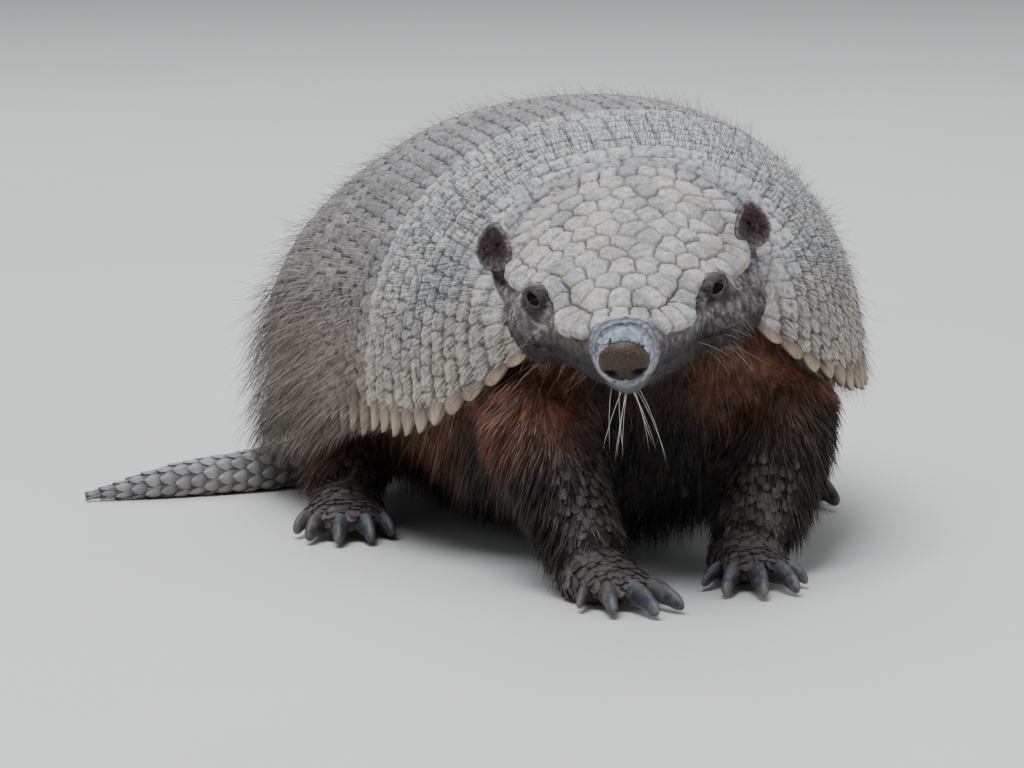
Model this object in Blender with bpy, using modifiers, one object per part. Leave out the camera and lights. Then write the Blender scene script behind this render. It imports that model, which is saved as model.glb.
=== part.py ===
"""Life-size still model of a big hairy armadillo, standing with its head and tail turned to its right.

Blender 4.5, metres, +Z up. The trunk runs along Y with the head towards -Y, so the animal's left is +X.
The soles, claw tips and tail lie on the plane z = 0. Tables are in centimetres and are scaled by CM.
The armour is shells on the trunk. The flesh is cut into head, neck, trunk, legs, feet and tail, and each
of its solids reaches out to the tips of the coat.
"""

import math

import bmesh
import bpy
from mathutils import Matrix, Vector

CM = 0.01
GAP = 0.0005  # clearance between neighbouring pieces
SHELL_THICK = 0.0030  # bone and horn of the carapace
PLATE_THICK = 0.0026  # head shield
EAR_THICK = 0.0016
BOX_CENTRE = Vector((-0.0292, -0.0148, 0.0))  # middle of the whole animal's box, moved to the origin

RING = 24  # points round the trunk, neck and head
ARCH = 14  # strips across the carapace
ARCH_POWER = 0.89  # below 1 squares the shoulders of the carapace's arch
BELLY_POWER = 0.65  # below 1 flattens the belly
FLANK_ANGLE = math.radians(84)  # how far round from the crown the trunk lines the carapace
SPINE_BEND = 60.0 * CM  # radius of the curve of the back, whose centre is on the animal's right
BODY_ROLL = math.radians(4.5)  # its left side stands a little higher
ROLL_HEIGHT = 6.0 * CM

# Distances along the back, from the middle of the trunk, positive towards the tail
FRONT_CROWN, FRONT_CORNER = -7.5 * CM, -11.0 * CM  # the carapace's front edge, crown and corners
FRONT_SWEEP = 0.73  # how soon the front edge comes forward round the neck
SCAPULAR_REAR = -3.5 * CM
BAND_COUNT, BAND_PITCH = 7, 1.05 * CM
CARAPACE_REAR = 12.0 * CM
MARGIN_TOOTH = math.radians(2.2)  # how far the lower margin's points and notches stray from its line
REAR_LIP = 0.0012  # each plate stands a little over the next one

HEAD_ORIGIN = Vector((-0.97, -7.90, 11.80)) * CM  # crown of the head shield's rear edge
HEAD_YAW, HEAD_PITCH, HEAD_ROLL = math.radians(-14.5), math.radians(27.0), math.radians(-4.7)
TRUNK_START = -8.5 * CM
HEAD_START, HEAD_END = 2.0 * CM, 9.3 * CM  # flesh of the head, forward from the rear of its shield

# along the back: half-width, crown height, height of the widest place, height of the lower margin
CARAPACE = (
    (-11.0, 3.35, 10.9, 8.4, 7.35),
    (-9.0, 5.0, 11.6, 7.2, 5.9),
    (-6.5, 6.4, 12.4, 5.8, 4.9),
    (-3.5, 7.4, 12.85, 5.1, 4.7),
    (0.0, 7.95, 12.9, 5.1, 4.3),
    (4.0, 8.2, 12.6, 5.1, 3.9),
    (8.0, 8.2, 11.2, 5.0, 3.6),
    (10.0, 7.3, 9.3, 4.9, 3.4),
    (11.3, 5.2, 7.4, 4.8, 3.5),
    (12.0, 3.0, 5.9, 4.6, 3.8),
)
# along the back: half-width of the flesh below the carapace's margin, height of the belly
BELLY = (
    (-11.0, 2.9, 4.0),
    (-9.0, 4.0, 2.1),
    (-6.5, 4.9, 1.1),
    (0.0, 5.7, 0.7),
    (6.0, 5.7, 0.8),
    (9.5, 4.8, 1.6),
    (12.0, 2.2, 3.4),
)
# forward along the head: half-width, top, bottom
HEAD = (
    (0.0, 2.7, -0.30, -4.6),
    (2.0, 3.05, -0.05, -4.4),
    (4.0, 3.05, 0.05, -3.9),
    (5.4, 2.55, -0.05, -3.35),
    (6.8, 1.85, -0.10, -2.75),
    (8.0, 1.30, 0.45, -2.20),
    (8.8, 1.02, 0.50, -1.80),
    (9.3, 0.78, 0.32, -1.30),
)
# forward along the head shield: half-width, crown height, drop of its edge below the crown
HEAD_SHIELD = (
    (0.0, 2.2, 0.00, 0.55),
    (1.0, 3.0, 0.18, 1.00),
    (2.2, 3.4, 0.28, 1.35),
    (3.4, 3.55, 0.32, 1.50),
    (4.5, 3.10, 0.30, 1.25),
    (5.5, 2.25, 0.26, 0.72),
    (6.4, 2.00, 0.22, 0.70),
    (7.2, 1.95, 0.16, 0.70),
    (8.0, 1.25, 0.12, 0.32),
)
HEAD_WIDEST = 0.36  # share of the way down from the top of the head to its underside
HEAD_ARCH, HEAD_KEEL = 0.85, 1.25  # powers that square the head's arch and narrow its underside
EYE_PLACE, EYE_RADIUS = Vector((2.48, -5.35, -0.72)) * CM, 0.40 * CM
EAR_ROOT, EAR_TIP = Vector((3.35, -3.1, -1.35)) * CM, Vector((4.05, -2.6, 0.12)) * CM
EAR_HALF_WIDTH, EAR_CUP = 0.50 * CM, 0.22 * CM
NOSE_SIZE = Vector((0.70, 0.38, 0.56)) * CM  # half-width, length, half-height
NOSE_PLACE = Vector((0.0, -HEAD_END - 0.02 * CM, -0.22 * CM))

# name: path from inside the body to the wrist or ankle, and radii along it, coat and all
LEGS = {
    "fore_leg_right": (
        ((-3.1, -7.4, 5.9), (-3.7, -9.2, 4.3), (-3.2, -10.7, 2.7), (-2.85, -11.6, 1.35)),
        (1.9, 1.75, 1.4, 1.05),
    ),
    "fore_leg_left": (
        ((2.9, -6.4, 6.2), (3.4, -7.9, 4.4), (2.9, -9.2, 2.7), (2.3, -9.9, 1.35)),
        (2.2, 2.2, 1.6, 1.05),
    ),
    "hind_leg_right": (
        ((-4.6, 4.6, 5.0), (-6.1, 3.4, 3.6), (-6.9, 2.4, 2.3), (-7.2, 1.8, 1.3)),
        (2.0, 1.75, 1.4, 1.1),
    ),
    "hind_leg_left": (
        ((4.4, 6.0, 5.0), (5.8, 5.2, 3.7), (6.3, 4.6, 2.3), (6.3, 4.1, 1.3)),
        (2.0, 1.75, 1.4, 1.1),
    ),
}
# name: place of the wrist or ankle on the floor, heading in degrees from -Y towards +X, spread of its toes
FEET = {
    "fore_foot_right": ((-2.9, -11.75), 15.0, 0.80),
    "fore_foot_left": ((2.2, -9.7), -9.0, 0.80),
    "hind_foot_right": ((-7.25, 1.3), -15.0, 0.80),
    "hind_foot_left": ((6.3, 3.7), 12.0, 0.85),
}
# toes from the inner to the outer: spread in degrees, reach, radius, claw length
FORE_TOES = (
    (48, 1.15, 0.25, 0.95),
    (22, 1.55, 0.34, 1.50),
    (-2, 1.70, 0.37, 1.65),
    (-27, 1.50, 0.35, 1.40),
    (-54, 1.15, 0.25, 0.85),
)
HIND_TOES = (
    (42, 1.75, 0.30, 0.65),
    (20, 2.15, 0.35, 0.95),
    (-1, 2.30, 0.36, 1.00),
    (-22, 2.10, 0.35, 0.90),
    (-44, 1.60, 0.30, 0.60),
)
PALM, PALM_AHEAD = Vector((1.15, 1.35, 0.85)), 0.45  # cm; half-sizes, and its middle ahead of the wrist
PALM_HEIGHT = 0.60  # cm, of its middle, so that the floor takes a flat off its underside
TOE_FAN = 0.35  # cm, from the palm's middle to where each toe starts
CLAW_GAP = 0.10  # cm, clear of the sloping end of its toe
TOE_HEIGHT = 0.52  # cm, height of the last joint, where the claw starts
TOE_ARCH = ((0.0, 0.70), (0.55, 0.78), (1.0, TOE_HEIGHT))  # share of a toe's reach, height in cm
CLAW_TIP, CLAW_POINT = 0.05, 0.07  # cm, height and radius of a claw's end

TAIL_PATH = (
    (-1.0, 10.6, 4.6),
    (-1.7, 12.0, 2.9),
    (-3.1, 12.0, 1.35),
    (-5.4, 10.3, 0.85),
    (-8.2, 8.5, 0.68),
    (-11.4, 7.7, 0.52),
    (-14.2, 7.4, 0.20),
)
TAIL_RADII = (1.35, 1.25, 1.02, 0.86, 0.74, 0.55, 0.16)
TAIL_CUTS = (0.40, 0.70)  # shares of its length where the three lengths part

COLOURS = {
    "plate": ((0.40, 0.37, 0.33), 0.75),
    "band": ((0.21, 0.19, 0.175), 0.78),
    "fur": ((0.022, 0.016, 0.014), 0.9),
    "face_skin": ((0.115, 0.09, 0.09), 0.7),
    "rufous_skin": ((0.20, 0.07, 0.03), 0.8),
    "foot_skin": ((0.12, 0.085, 0.075), 0.7),
    "claw": ((0.10, 0.105, 0.11), 0.45),
    "nose": ((0.10, 0.065, 0.04), 0.5),
    "eye": ((0.01, 0.008, 0.008), 0.08),
    "tail": ((0.21, 0.20, 0.20), 0.65),
}


def clear_scene():
    """Removes whatever the file opens with."""
    for obj in list(bpy.data.objects):
        bpy.data.objects.remove(obj, do_unlink=True)


def finish_of(key):
    """The Principled material of one kind of surface."""
    material = bpy.data.materials.get(key)
    if material is None:
        colour, roughness = COLOURS[key]
        material = bpy.data.materials.new(key)
        material.use_nodes = True
        shader = material.node_tree.nodes["Principled BSDF"]
        shader.inputs["Base Color"].default_value = (*colour, 1.0)
        shader.inputs["Roughness"].default_value = roughness
        shader.inputs["Metallic"].default_value = 0.0
        material.diffuse_color = (*colour, 1.0)
    return material


def read_off(table, at):
    """Values between the rows of a table whose first column rises, all in metres (cubic Hermite)."""
    at = min(max(at / CM, table[0][0]), table[-1][0])
    i = max(k for k in range(len(table) - 1) if table[k][0] <= at)
    low, high = table[i], table[i + 1]
    before, after = table[max(i - 1, 0)], table[min(i + 2, len(table) - 1)]
    span = high[0] - low[0]
    t = (at - low[0]) / span
    values = []
    for k in range(1, len(low)):
        leave = (high[k] - before[k]) / (high[0] - before[0]) * span
        arrive = (after[k] - low[k]) / (after[0] - low[0]) * span
        start = (2 * t**3 - 3 * t**2 + 1) * low[k] + (t**3 - 2 * t**2 + t) * leave
        end = (3 * t**2 - 2 * t**3) * high[k] + (t**3 - t**2) * arrive
        values.append((start + end) * CM)
    return values


def in_pose(x, s, z):
    """Moves a point of the straight, level trunk into the bent and slightly rolled pose."""
    turn = math.cos(BODY_ROLL), math.sin(BODY_ROLL)
    up = z - ROLL_HEIGHT
    across = SPINE_BEND + x * turn[0] - up * turn[1]
    place = Vector((across * math.cos(s / SPINE_BEND), across * math.sin(s / SPINE_BEND), ROLL_HEIGHT))
    return place + Vector((-SPINE_BEND, 0.0, up * turn[0] + x * turn[1]))


def signed_power(value, exponent):
    """A power that keeps the sign of its base, for sections a little squarer than an ellipse."""
    return math.copysign(abs(value) ** exponent, value)


def margin_angle(s):
    """How far round from the crown the carapace reaches, in radians."""
    _, crown, widest, margin = read_off(CARAPACE, s)
    return math.acos(signed_power((margin - widest) / (crown - widest), 1 / ARCH_POWER))


def leaning(s, psi):
    """Sections stand square to the back, but towards the head they lean with the carapace's front edge."""
    share = (s - FRONT_CORNER) / (SCAPULAR_REAR - FRONT_CORNER)
    if share >= 1:
        return s
    corner = math.sin(min(abs(psi) * FRONT_SWEEP, math.pi / 2)) ** 2
    start = FRONT_CROWN + (FRONT_CORNER - FRONT_CROWN) * corner
    return start + (SCAPULAR_REAR - start) * share


def armour_point(s, psi, lift=0.0):
    """A point of the carapace, moved out by lift: s along the back, psi round it from the crown."""
    half_width, crown, widest, _ = read_off(CARAPACE, s)
    height = crown - widest
    outward = Vector((math.sin(psi) * height, math.cos(psi) * half_width)).normalized() * lift
    x = half_width * signed_power(math.sin(psi), ARCH_POWER)
    z = widest + height * signed_power(math.cos(psi), ARCH_POWER)
    return in_pose(x + outward.x, s, z + outward.y)


def new_object(name, mesh, key):
    """Links a mesh as one named object of the armadillo collection."""
    obj = bpy.data.objects.new(name, mesh)
    COLLECTION.objects.link(obj)
    mesh.materials.clear()
    mesh.materials.append(finish_of(key))
    obj["finish"] = key
    return obj


def mesh_from(bm, name):
    """Ends a bmesh as a mesh of triangles with outward normals, which later cuts follow exactly."""
    bmesh.ops.triangulate(bm, faces=bm.faces)
    bmesh.ops.recalc_face_normals(bm, faces=bm.faces)
    mesh = bpy.data.meshes.new(name)
    bm.to_mesh(mesh)
    bm.free()
    return mesh


def smooth(obj, angle=45.0):
    """Round pieces are shaded smooth, with their real edges kept."""
    obj.data.shade_smooth()
    obj.data.set_sharp_from_angle(angle=math.radians(angle))
    return obj


def keep_largest(bm):
    """Drops the slivers that a cut can leave beside the main body."""
    left, bodies = set(bm.verts), []
    while left:
        todo, body = [left.pop()], []
        while todo:
            vert = todo.pop()
            body.append(vert)
            for edge in vert.link_edges:
                other = edge.other_vert(vert)
                if other in left:
                    left.remove(other)
                    todo.append(other)
        bodies.append(body)
    for body in sorted(bodies, key=len)[:-1]:
        bmesh.ops.delete(bm, geom=body, context="VERTS")


def applied(obj):
    """Replaces an object's mesh by its evaluated one and keeps its largest body."""
    graph = bpy.context.evaluated_depsgraph_get()
    mesh = bpy.data.meshes.new_from_object(obj.evaluated_get(graph), depsgraph=graph)
    obj.modifiers.clear()
    bm = bmesh.new()
    bm.from_mesh(mesh)
    bmesh.ops.dissolve_degenerate(bm, edges=bm.edges, dist=0.00003)
    bmesh.ops.triangulate(bm, faces=bm.faces)
    keep_largest(bm)
    bm.to_mesh(mesh)
    bm.free()
    obj.data = mesh
    return smooth(obj)


def loft(name, rings, key):
    """A closed solid through rings of points of unlike shape, with a fan at each end."""
    bm = bmesh.new()
    lines = [[bm.verts.new(p) for p in ring] for ring in rings]
    count = len(lines[0])
    for near, far in zip(lines, lines[1:]):
        for j in range(count):
            bm.faces.new((near[j], near[(j + 1) % count], far[(j + 1) % count], far[j]))
    for line in (lines[0], lines[-1]):
        middle = bm.verts.new(sum((v.co for v in line), Vector()) / count)
        for j in range(count):
            bm.faces.new((line[j], line[(j + 1) % count], middle))
    return smooth(new_object(name, mesh_from(bm, name), key))


def plate(name, grid, thickness, key):
    """A plate of even thickness below an open surface that is given as rows of points."""
    bm = bmesh.new()
    lines = [[bm.verts.new(p) for p in row] for row in grid]
    for near, far in zip(lines, lines[1:]):
        for j in range(len(near) - 1):
            bm.faces.new((near[j], near[j + 1], far[j + 1], far[j]))
    mesh = bpy.data.meshes.new(name)
    bm.to_mesh(mesh)
    bm.free()
    obj = new_object(name, mesh, key)
    thicken = obj.modifiers.new("thicken", "SOLIDIFY")
    thicken.thickness = thickness
    thicken.offset = -1.0
    thicken.use_even_offset = False
    return applied(obj)


def tube(name, points, radii, key, sides=10, steps=3):
    """A tapering round body along a smooth line, such as a leg, a toe or a claw."""
    curve = bpy.data.curves.new(name, "CURVE")
    curve.dimensions = "3D"
    curve.twist_mode = "Z_UP"
    curve.bevel_depth = CM
    curve.bevel_resolution = sides // 2 - 2
    curve.resolution_u = steps
    curve.use_fill_caps = True
    spline = curve.splines.new("BEZIER")
    spline.bezier_points.add(len(points) - 1)
    for knot, place, radius in zip(spline.bezier_points, points, radii):
        knot.co = Vector(place) * CM
        knot.radius = radius
        knot.handle_left_type = "AUTO"
        knot.handle_right_type = "AUTO"
    holder = bpy.data.objects.new(name, curve)
    COLLECTION.objects.link(holder)
    graph = bpy.context.evaluated_depsgraph_get()
    mesh = bpy.data.meshes.new_from_object(holder.evaluated_get(graph), depsgraph=graph)
    bpy.data.objects.remove(holder, do_unlink=True)
    bm = bmesh.new()
    bm.from_mesh(mesh)
    bmesh.ops.remove_doubles(bm, verts=bm.verts, dist=0.00001)
    return smooth(new_object(name, mesh_from(bm, name), key))


def swelled(obj, by):
    """A hidden cutter: the object's own shape, moved out by a clearance."""
    bm = bmesh.new()
    bm.from_mesh(UNCUT.get(obj.name, obj.data))
    bm.normal_update()
    places = [vert.co + vert.normal * by for vert in bm.verts]
    for vert, place in zip(bm.verts, places):
        vert.co = place
    cutter = bpy.data.objects.new("cutter_" + obj.name, mesh_from(bm, "cutter_" + obj.name))
    cutter.hide_render = True
    cutter.display_type = "WIRE"
    CUTTERS.objects.link(cutter)
    return cutter


def carve(obj, others):
    """Cuts the neighbours, whole and swelled by the clearance, out of an object, one after another."""
    UNCUT[obj.name] = obj.data
    for other in others:
        cut = obj.modifiers.new("clear", "BOOLEAN")
        cut.operation = "DIFFERENCE"
        cut.solver = "EXACT"
        cut.object = swelled(other, GAP)
        applied(obj)
    return obj


def united(obj, pieces):
    """Joins overlapping pieces to an object as one body."""
    for piece in pieces:
        join = obj.modifiers.new("join", "BOOLEAN")
        join.operation = "UNION"
        join.solver = "EXACT"
        join.object = piece
    applied(obj)
    for piece in pieces:
        bpy.data.objects.remove(piece, do_unlink=True)
    return obj


def cut_off(bm, place, way):
    """Takes away what lies ahead of a plane and closes the cut, in the largest body that is left."""
    everything = bm.verts[:] + bm.edges[:] + bm.faces[:]
    bmesh.ops.bisect_plane(bm, geom=everything, plane_co=place, plane_no=way, clear_outer=True)
    bmesh.ops.holes_fill(bm, edges=bm.edges, sides=0)
    keep_largest(bm)


def floor_flat(obj):
    """Planes off what reaches under the floor, which leaves a small flat to stand on."""
    bm = bmesh.new()
    bm.from_mesh(obj.data)
    cut_off(bm, Vector(), Vector((0, 0, -1)))
    obj.data = mesh_from(bm, obj.name)
    obj.data.materials.append(finish_of(obj["finish"]))
    return smooth(obj)


def trunk_ring(s):
    """One section of the trunk: the inside of the carapace above its margin, the belly below."""
    upper = RING // 2 + 3
    ahead, behind = read_off(CARAPACE, s - 0.2 * CM), read_off(CARAPACE, s + 0.2 * CM)
    slope = max(abs(ahead[k] - behind[k]) / (0.4 * CM) for k in (0, 1))
    inset = (SHELL_THICK + 2 * GAP) * math.hypot(1, slope)
    ring = []
    for j in range(upper):
        psi = FLANK_ANGLE * (1 - 2 * j / (upper - 1))
        ring.append(armour_point(leaning(s, psi), psi, -inset))
    margin = read_off(CARAPACE, s)[3]
    half_width, belly = read_off(BELLY, s)
    for j in range(1, RING - upper + 1):
        turn = math.pi * j / (RING - upper + 1)
        drop = (margin - belly) * math.sin(turn) ** BELLY_POWER
        ring.append(in_pose(-half_width * math.cos(turn), s, margin - drop))
    crown = upper // 2
    return ring[crown:] + ring[:crown]


def head_matrix():
    """Where the turned, lowered and tilted head stands."""
    turned = Matrix.Translation(HEAD_ORIGIN) @ Matrix.Rotation(HEAD_YAW, 4, "Z")
    return turned @ Matrix.Rotation(HEAD_PITCH, 4, "X") @ Matrix.Rotation(HEAD_ROLL, 4, "Y")


def head_ring(forward):
    """One section of the head: a broad arch above, a narrow keel below, upright at the back of the head."""
    half_width, top, bottom = read_off(HEAD, forward)
    widest = top + (bottom - top) * HEAD_WIDEST
    lean = math.tan(HEAD_PITCH) * (1 - forward / HEAD_END)
    ring = []
    for j in range(RING):
        turn = 2 * math.pi * (j + 0.5) / RING
        side, up = -math.sin(turn), math.cos(turn)
        if up > 0:
            x, z = signed_power(side, HEAD_ARCH), widest + (top - widest) * up**HEAD_ARCH
        else:
            x, z = signed_power(side, HEAD_KEEL), widest + (bottom - widest) * abs(up)
        ring.append(head_matrix() @ Vector((half_width * x, -forward + lean * z, z)))
    return ring


def make_trunk():
    """The fleshy body inside the carapace, from the chest to the rump."""
    places = (-7.2, -5.5, -3.4, -1.0, 1.5, 4.0, 6.2, 8.0, 9.4, 10.4, 11.1)
    return loft("trunk", [trunk_ring(TRUNK_START), *(trunk_ring(s * CM) for s in places)], "fur")


def make_armour(name, start, end, rows, teeth, key):
    """A stretch of the carapace with a toothed lower margin."""
    grid = []
    for i in range(rows + 1):
        share = i / rows
        tooth = 1 - abs((share * teeth * 2) % 2 - 1)
        s = start + (end - start) * share
        reach = margin_angle(s) + MARGIN_TOOTH * (2 * tooth - 1)
        row = []
        for j in range(ARCH + 1):
            psi = reach * (2 * j / ARCH - 1)
            row.append(armour_point(leaning(s, psi), psi, REAR_LIP * share))
        grid.append(row)
    return plate(name, grid, SHELL_THICK, key)


def make_carapace():
    """Shoulder shield, seven movable bands and the hip shield."""
    slot = GAP * 0.8
    plates = [make_armour("scapular_shield", FRONT_CORNER, SCAPULAR_REAR - slot, 16, 8, "plate")]
    start = SCAPULAR_REAR
    for k in range(BAND_COUNT):
        plates.append(make_armour(f"band_{k + 1}", start + slot, start + BAND_PITCH - slot, 2, 1, "band"))
        start += BAND_PITCH
    plates.append(make_armour("pelvic_shield", start + slot, CARAPACE_REAR, 12, 6, "band"))
    return plates


def make_head_shield():
    """The bony plate over the crown and snout."""
    rows, columns = 10, 8
    grid = []
    for i in range(rows + 1):
        forward = HEAD_SHIELD[-1][0] * CM * i / rows
        half_width, crown, drop = read_off(HEAD_SHIELD, forward)
        row = []
        for j in range(columns + 1):
            across = 2 * j / columns - 1
            row.append(head_matrix() @ Vector((half_width * across, -forward, crown - drop * across**2)))
        grid.append(row)
    return plate("head_shield", [row[::-1] for row in grid], PLATE_THICK, "plate")


def make_ball(name, size, place, key, segments=10, rings=7):
    """A rounded body in the head's own frame, such as an eye or the nose pad."""
    bm = bmesh.new()
    bmesh.ops.create_uvsphere(bm, u_segments=segments, v_segments=rings, radius=1.0)
    to_pose = head_matrix() @ Matrix.Translation(place) @ Matrix.Diagonal((*size, 1.0))
    bmesh.ops.transform(bm, matrix=to_pose, verts=bm.verts)
    return smooth(new_object(name, mesh_from(bm, name), key), 80.0)


def make_ear(name, side):
    """A thin cupped leaf that leans out and back behind the corner of the shield."""
    reach = EAR_TIP - EAR_ROOT
    face = Vector((0.45, -0.85, 0.1)).normalized()
    wide = reach.normalized().cross(face).normalized()
    grid = []
    for i in range(6):
        share = i / 5
        width = EAR_HALF_WIDTH * math.sqrt(max(1 - (1.35 * share - 0.45) ** 2, 0.02))
        row = []
        for j in range(5):
            across = 2 * j / 4 - 1
            cup = EAR_CUP * across**2 * math.sin(math.pi * (0.2 + 0.6 * share))
            place = EAR_ROOT + reach * share + wide * (width * across) + face * cup
            row.append(head_matrix() @ Vector((place.x * side, place.y, place.z)))
        grid.append(row)
    return plate(name, grid, EAR_THICK, "face_skin")


def make_neck(neighbours):
    """The throat and the short neck, between the trunk's front section and the head's rear one."""
    back, front = trunk_ring(TRUNK_START), head_ring(HEAD_START)
    slack = GAP / (front[0] - back[0]).length
    rings = [[a.lerp(b, share) for a, b in zip(back, front)] for share in (slack, 0.35, 0.7, 1 - slack)]
    return carve(loft("neck", rings, "rufous_skin"), neighbours)


def make_tail(neighbours):
    """The tail, bent to the animal's right and laid on the floor, in three lengths."""
    whole = floor_flat(tube("tail", TAIL_PATH, TAIL_RADII, "tail", 12, 3))
    table = [(i / (len(TAIL_PATH) - 1), *place) for i, place in enumerate(TAIL_PATH)]
    lengths = []
    names = "tail_base", "tail_middle", "tail_tip"
    for name, low, high in zip(names, (0.0, *TAIL_CUTS), (*TAIL_CUTS, 1.0)):
        bm = bmesh.new()
        bm.from_mesh(whole.data)
        for share, sense in ((low, -1), (high, 1)):
            if 0 < share < 1:
                here = Vector(read_off(table, share * CM))
                way = (Vector(read_off(table, (share + 0.01) * CM)) - here).normalized() * sense
                cut_off(bm, here - way * GAP / 2, way)
        lengths.append(smooth(new_object(name, mesh_from(bm, name), "tail")))
    bpy.data.objects.remove(whole, do_unlink=True)
    carve(lengths[0], neighbours)
    return lengths


def make_foot(name, place, heading, spread_share, toes):
    """The paw: a low palm and five toes in one body, and five claws as their own pieces."""
    turn = math.radians(heading)
    forward = Vector((math.sin(turn), -math.cos(turn), 0.0))
    side = Vector((0, 0, 1)).cross(forward) * (1.0 if place[0] < 0 else -1.0)
    wrist = Vector((*place, 0.0))
    bm = bmesh.new()
    bmesh.ops.create_uvsphere(bm, u_segments=10, v_segments=6, radius=1.0)
    middle = wrist + forward * PALM_AHEAD
    centre = Matrix.Translation((middle + Vector((0, 0, PALM_HEIGHT))) * CM)
    shape = centre @ Matrix.Rotation(turn, 4, "Z") @ Matrix.Diagonal((*PALM * CM, 1.0))
    bmesh.ops.transform(bm, matrix=shape, verts=bm.verts)
    foot = new_object(name, mesh_from(bm, name), "foot_skin")
    knuckles = []
    for k, (spread, reach, radius, claw) in enumerate(toes):
        angle = math.radians(spread * spread_share)
        way = forward * math.cos(angle) + side * math.sin(angle)
        root = middle + way * TOE_FAN
        path = [root + way * (reach * share) + Vector((0, 0, height)) for share, height in TOE_ARCH]
        radii = (radius * 1.1, radius * 1.1, radius)
        knuckles.append(tube(f"{name}_toe_{k + 1}", path, radii, "foot_skin", 6, 1))
        stations = ((CLAW_GAP, 0.0), (0.5 * claw, -0.06), (claw, CLAW_TIP - TOE_HEIGHT))
        path = [path[-1] + way * ahead + Vector((0, 0, drop)) for ahead, drop in stations]
        nail = tube(f"{name}_claw_{k + 1}", path, (radius * 0.8, radius * 0.66, CLAW_POINT), "claw", 6, 1)
        floor_flat(nail)
    return floor_flat(united(foot, knuckles))


clear_scene()
UNCUT = {}  # meshes of the carved pieces as they were, which make cleaner cutters
COLLECTION = bpy.data.collections.new("armadillo")
CUTTERS = bpy.data.collections.new("cutters")
for collection in (COLLECTION, CUTTERS):
    bpy.context.scene.collection.children.link(collection)

trunk = make_trunk()
plates = make_carapace()
head_shield = make_head_shield()
eyes = [
    make_ball(name, (EYE_RADIUS,) * 3, Vector((EYE_PLACE.x * side, EYE_PLACE.y, EYE_PLACE.z)), "eye")
    for name, side in (("eye_left", 1), ("eye_right", -1))
]
carve(head_shield, eyes)
head_steps, head_span = 7, HEAD_END - HEAD_START
rings = [head_ring(HEAD_START + head_span * i / head_steps) for i in range(head_steps + 1)]
head = loft("head", rings, "face_skin")
nose = make_ball("nose", NOSE_SIZE, NOSE_PLACE, "nose", 12, 7)
carve(head, [head_shield, nose, plates[0], *eyes])
neck = make_neck([head_shield, plates[0]])
for name, side in (("ear_left", 1), ("ear_right", -1)):
    carve(make_ear(name, side), [head, head_shield, neck, plates[0]])

tail = make_tail([trunk, plates[-1]])
feet = {}
for (name, layout), toes in zip(FEET.items(), (FORE_TOES, FORE_TOES, HIND_TOES, HIND_TOES)):
    feet[name] = make_foot(name, *layout, toes)
for (name, (path, radii)), foot in zip(LEGS.items(), feet.values()):
    near = plates[:1] if name.startswith("fore") else plates[3:]
    carve(tube(name, path, radii, "fur", 12, 2), [head, neck, trunk, foot, *near])
for piece in COLLECTION.objects:
    piece.location = -BOX_CENTRE
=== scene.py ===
"""Looks of the big hairy armadillo, from the skin out to the coat and whiskers, then floor, light and camera.

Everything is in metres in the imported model's frame: +Z up, head towards -Y, so the animal's left is +X.
Tables in centimetres repeat the model's own sizes, and are scaled by CM.
"""

import math

import bmesh
import bpy
import numpy as np
from mathutils import Matrix, Vector
from mathutils.bvhtree import BVHTree


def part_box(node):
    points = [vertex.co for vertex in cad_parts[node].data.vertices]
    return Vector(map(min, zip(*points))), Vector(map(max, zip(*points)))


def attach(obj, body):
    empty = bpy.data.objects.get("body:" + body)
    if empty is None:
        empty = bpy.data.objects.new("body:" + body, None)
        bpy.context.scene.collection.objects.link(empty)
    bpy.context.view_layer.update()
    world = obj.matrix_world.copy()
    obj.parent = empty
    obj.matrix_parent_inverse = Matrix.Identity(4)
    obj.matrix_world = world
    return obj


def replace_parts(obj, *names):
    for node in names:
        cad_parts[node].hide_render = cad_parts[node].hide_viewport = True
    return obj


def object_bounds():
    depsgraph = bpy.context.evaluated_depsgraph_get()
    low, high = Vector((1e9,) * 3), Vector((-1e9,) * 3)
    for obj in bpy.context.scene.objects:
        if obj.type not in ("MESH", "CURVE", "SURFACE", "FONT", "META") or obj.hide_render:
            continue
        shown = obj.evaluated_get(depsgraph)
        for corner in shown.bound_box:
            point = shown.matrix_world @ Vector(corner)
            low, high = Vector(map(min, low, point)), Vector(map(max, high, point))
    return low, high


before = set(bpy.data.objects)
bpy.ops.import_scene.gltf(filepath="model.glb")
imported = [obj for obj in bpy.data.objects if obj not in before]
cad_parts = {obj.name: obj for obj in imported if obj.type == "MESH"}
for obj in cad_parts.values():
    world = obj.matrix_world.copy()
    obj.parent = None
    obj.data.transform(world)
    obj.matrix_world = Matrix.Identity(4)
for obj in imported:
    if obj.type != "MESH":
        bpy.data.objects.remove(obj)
cad_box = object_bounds()

# -------------------------------------------------------------------------------- skin
# One skin covers head, neck, trunk, legs, feet and tail: bare and wrinkled on the face, rust brown on chest
# and flank, nearly black below. It is fused from the flesh solids, lies inside them by the depth of the coat,
# and is shaped round muzzle, mouth and eyes.

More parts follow.
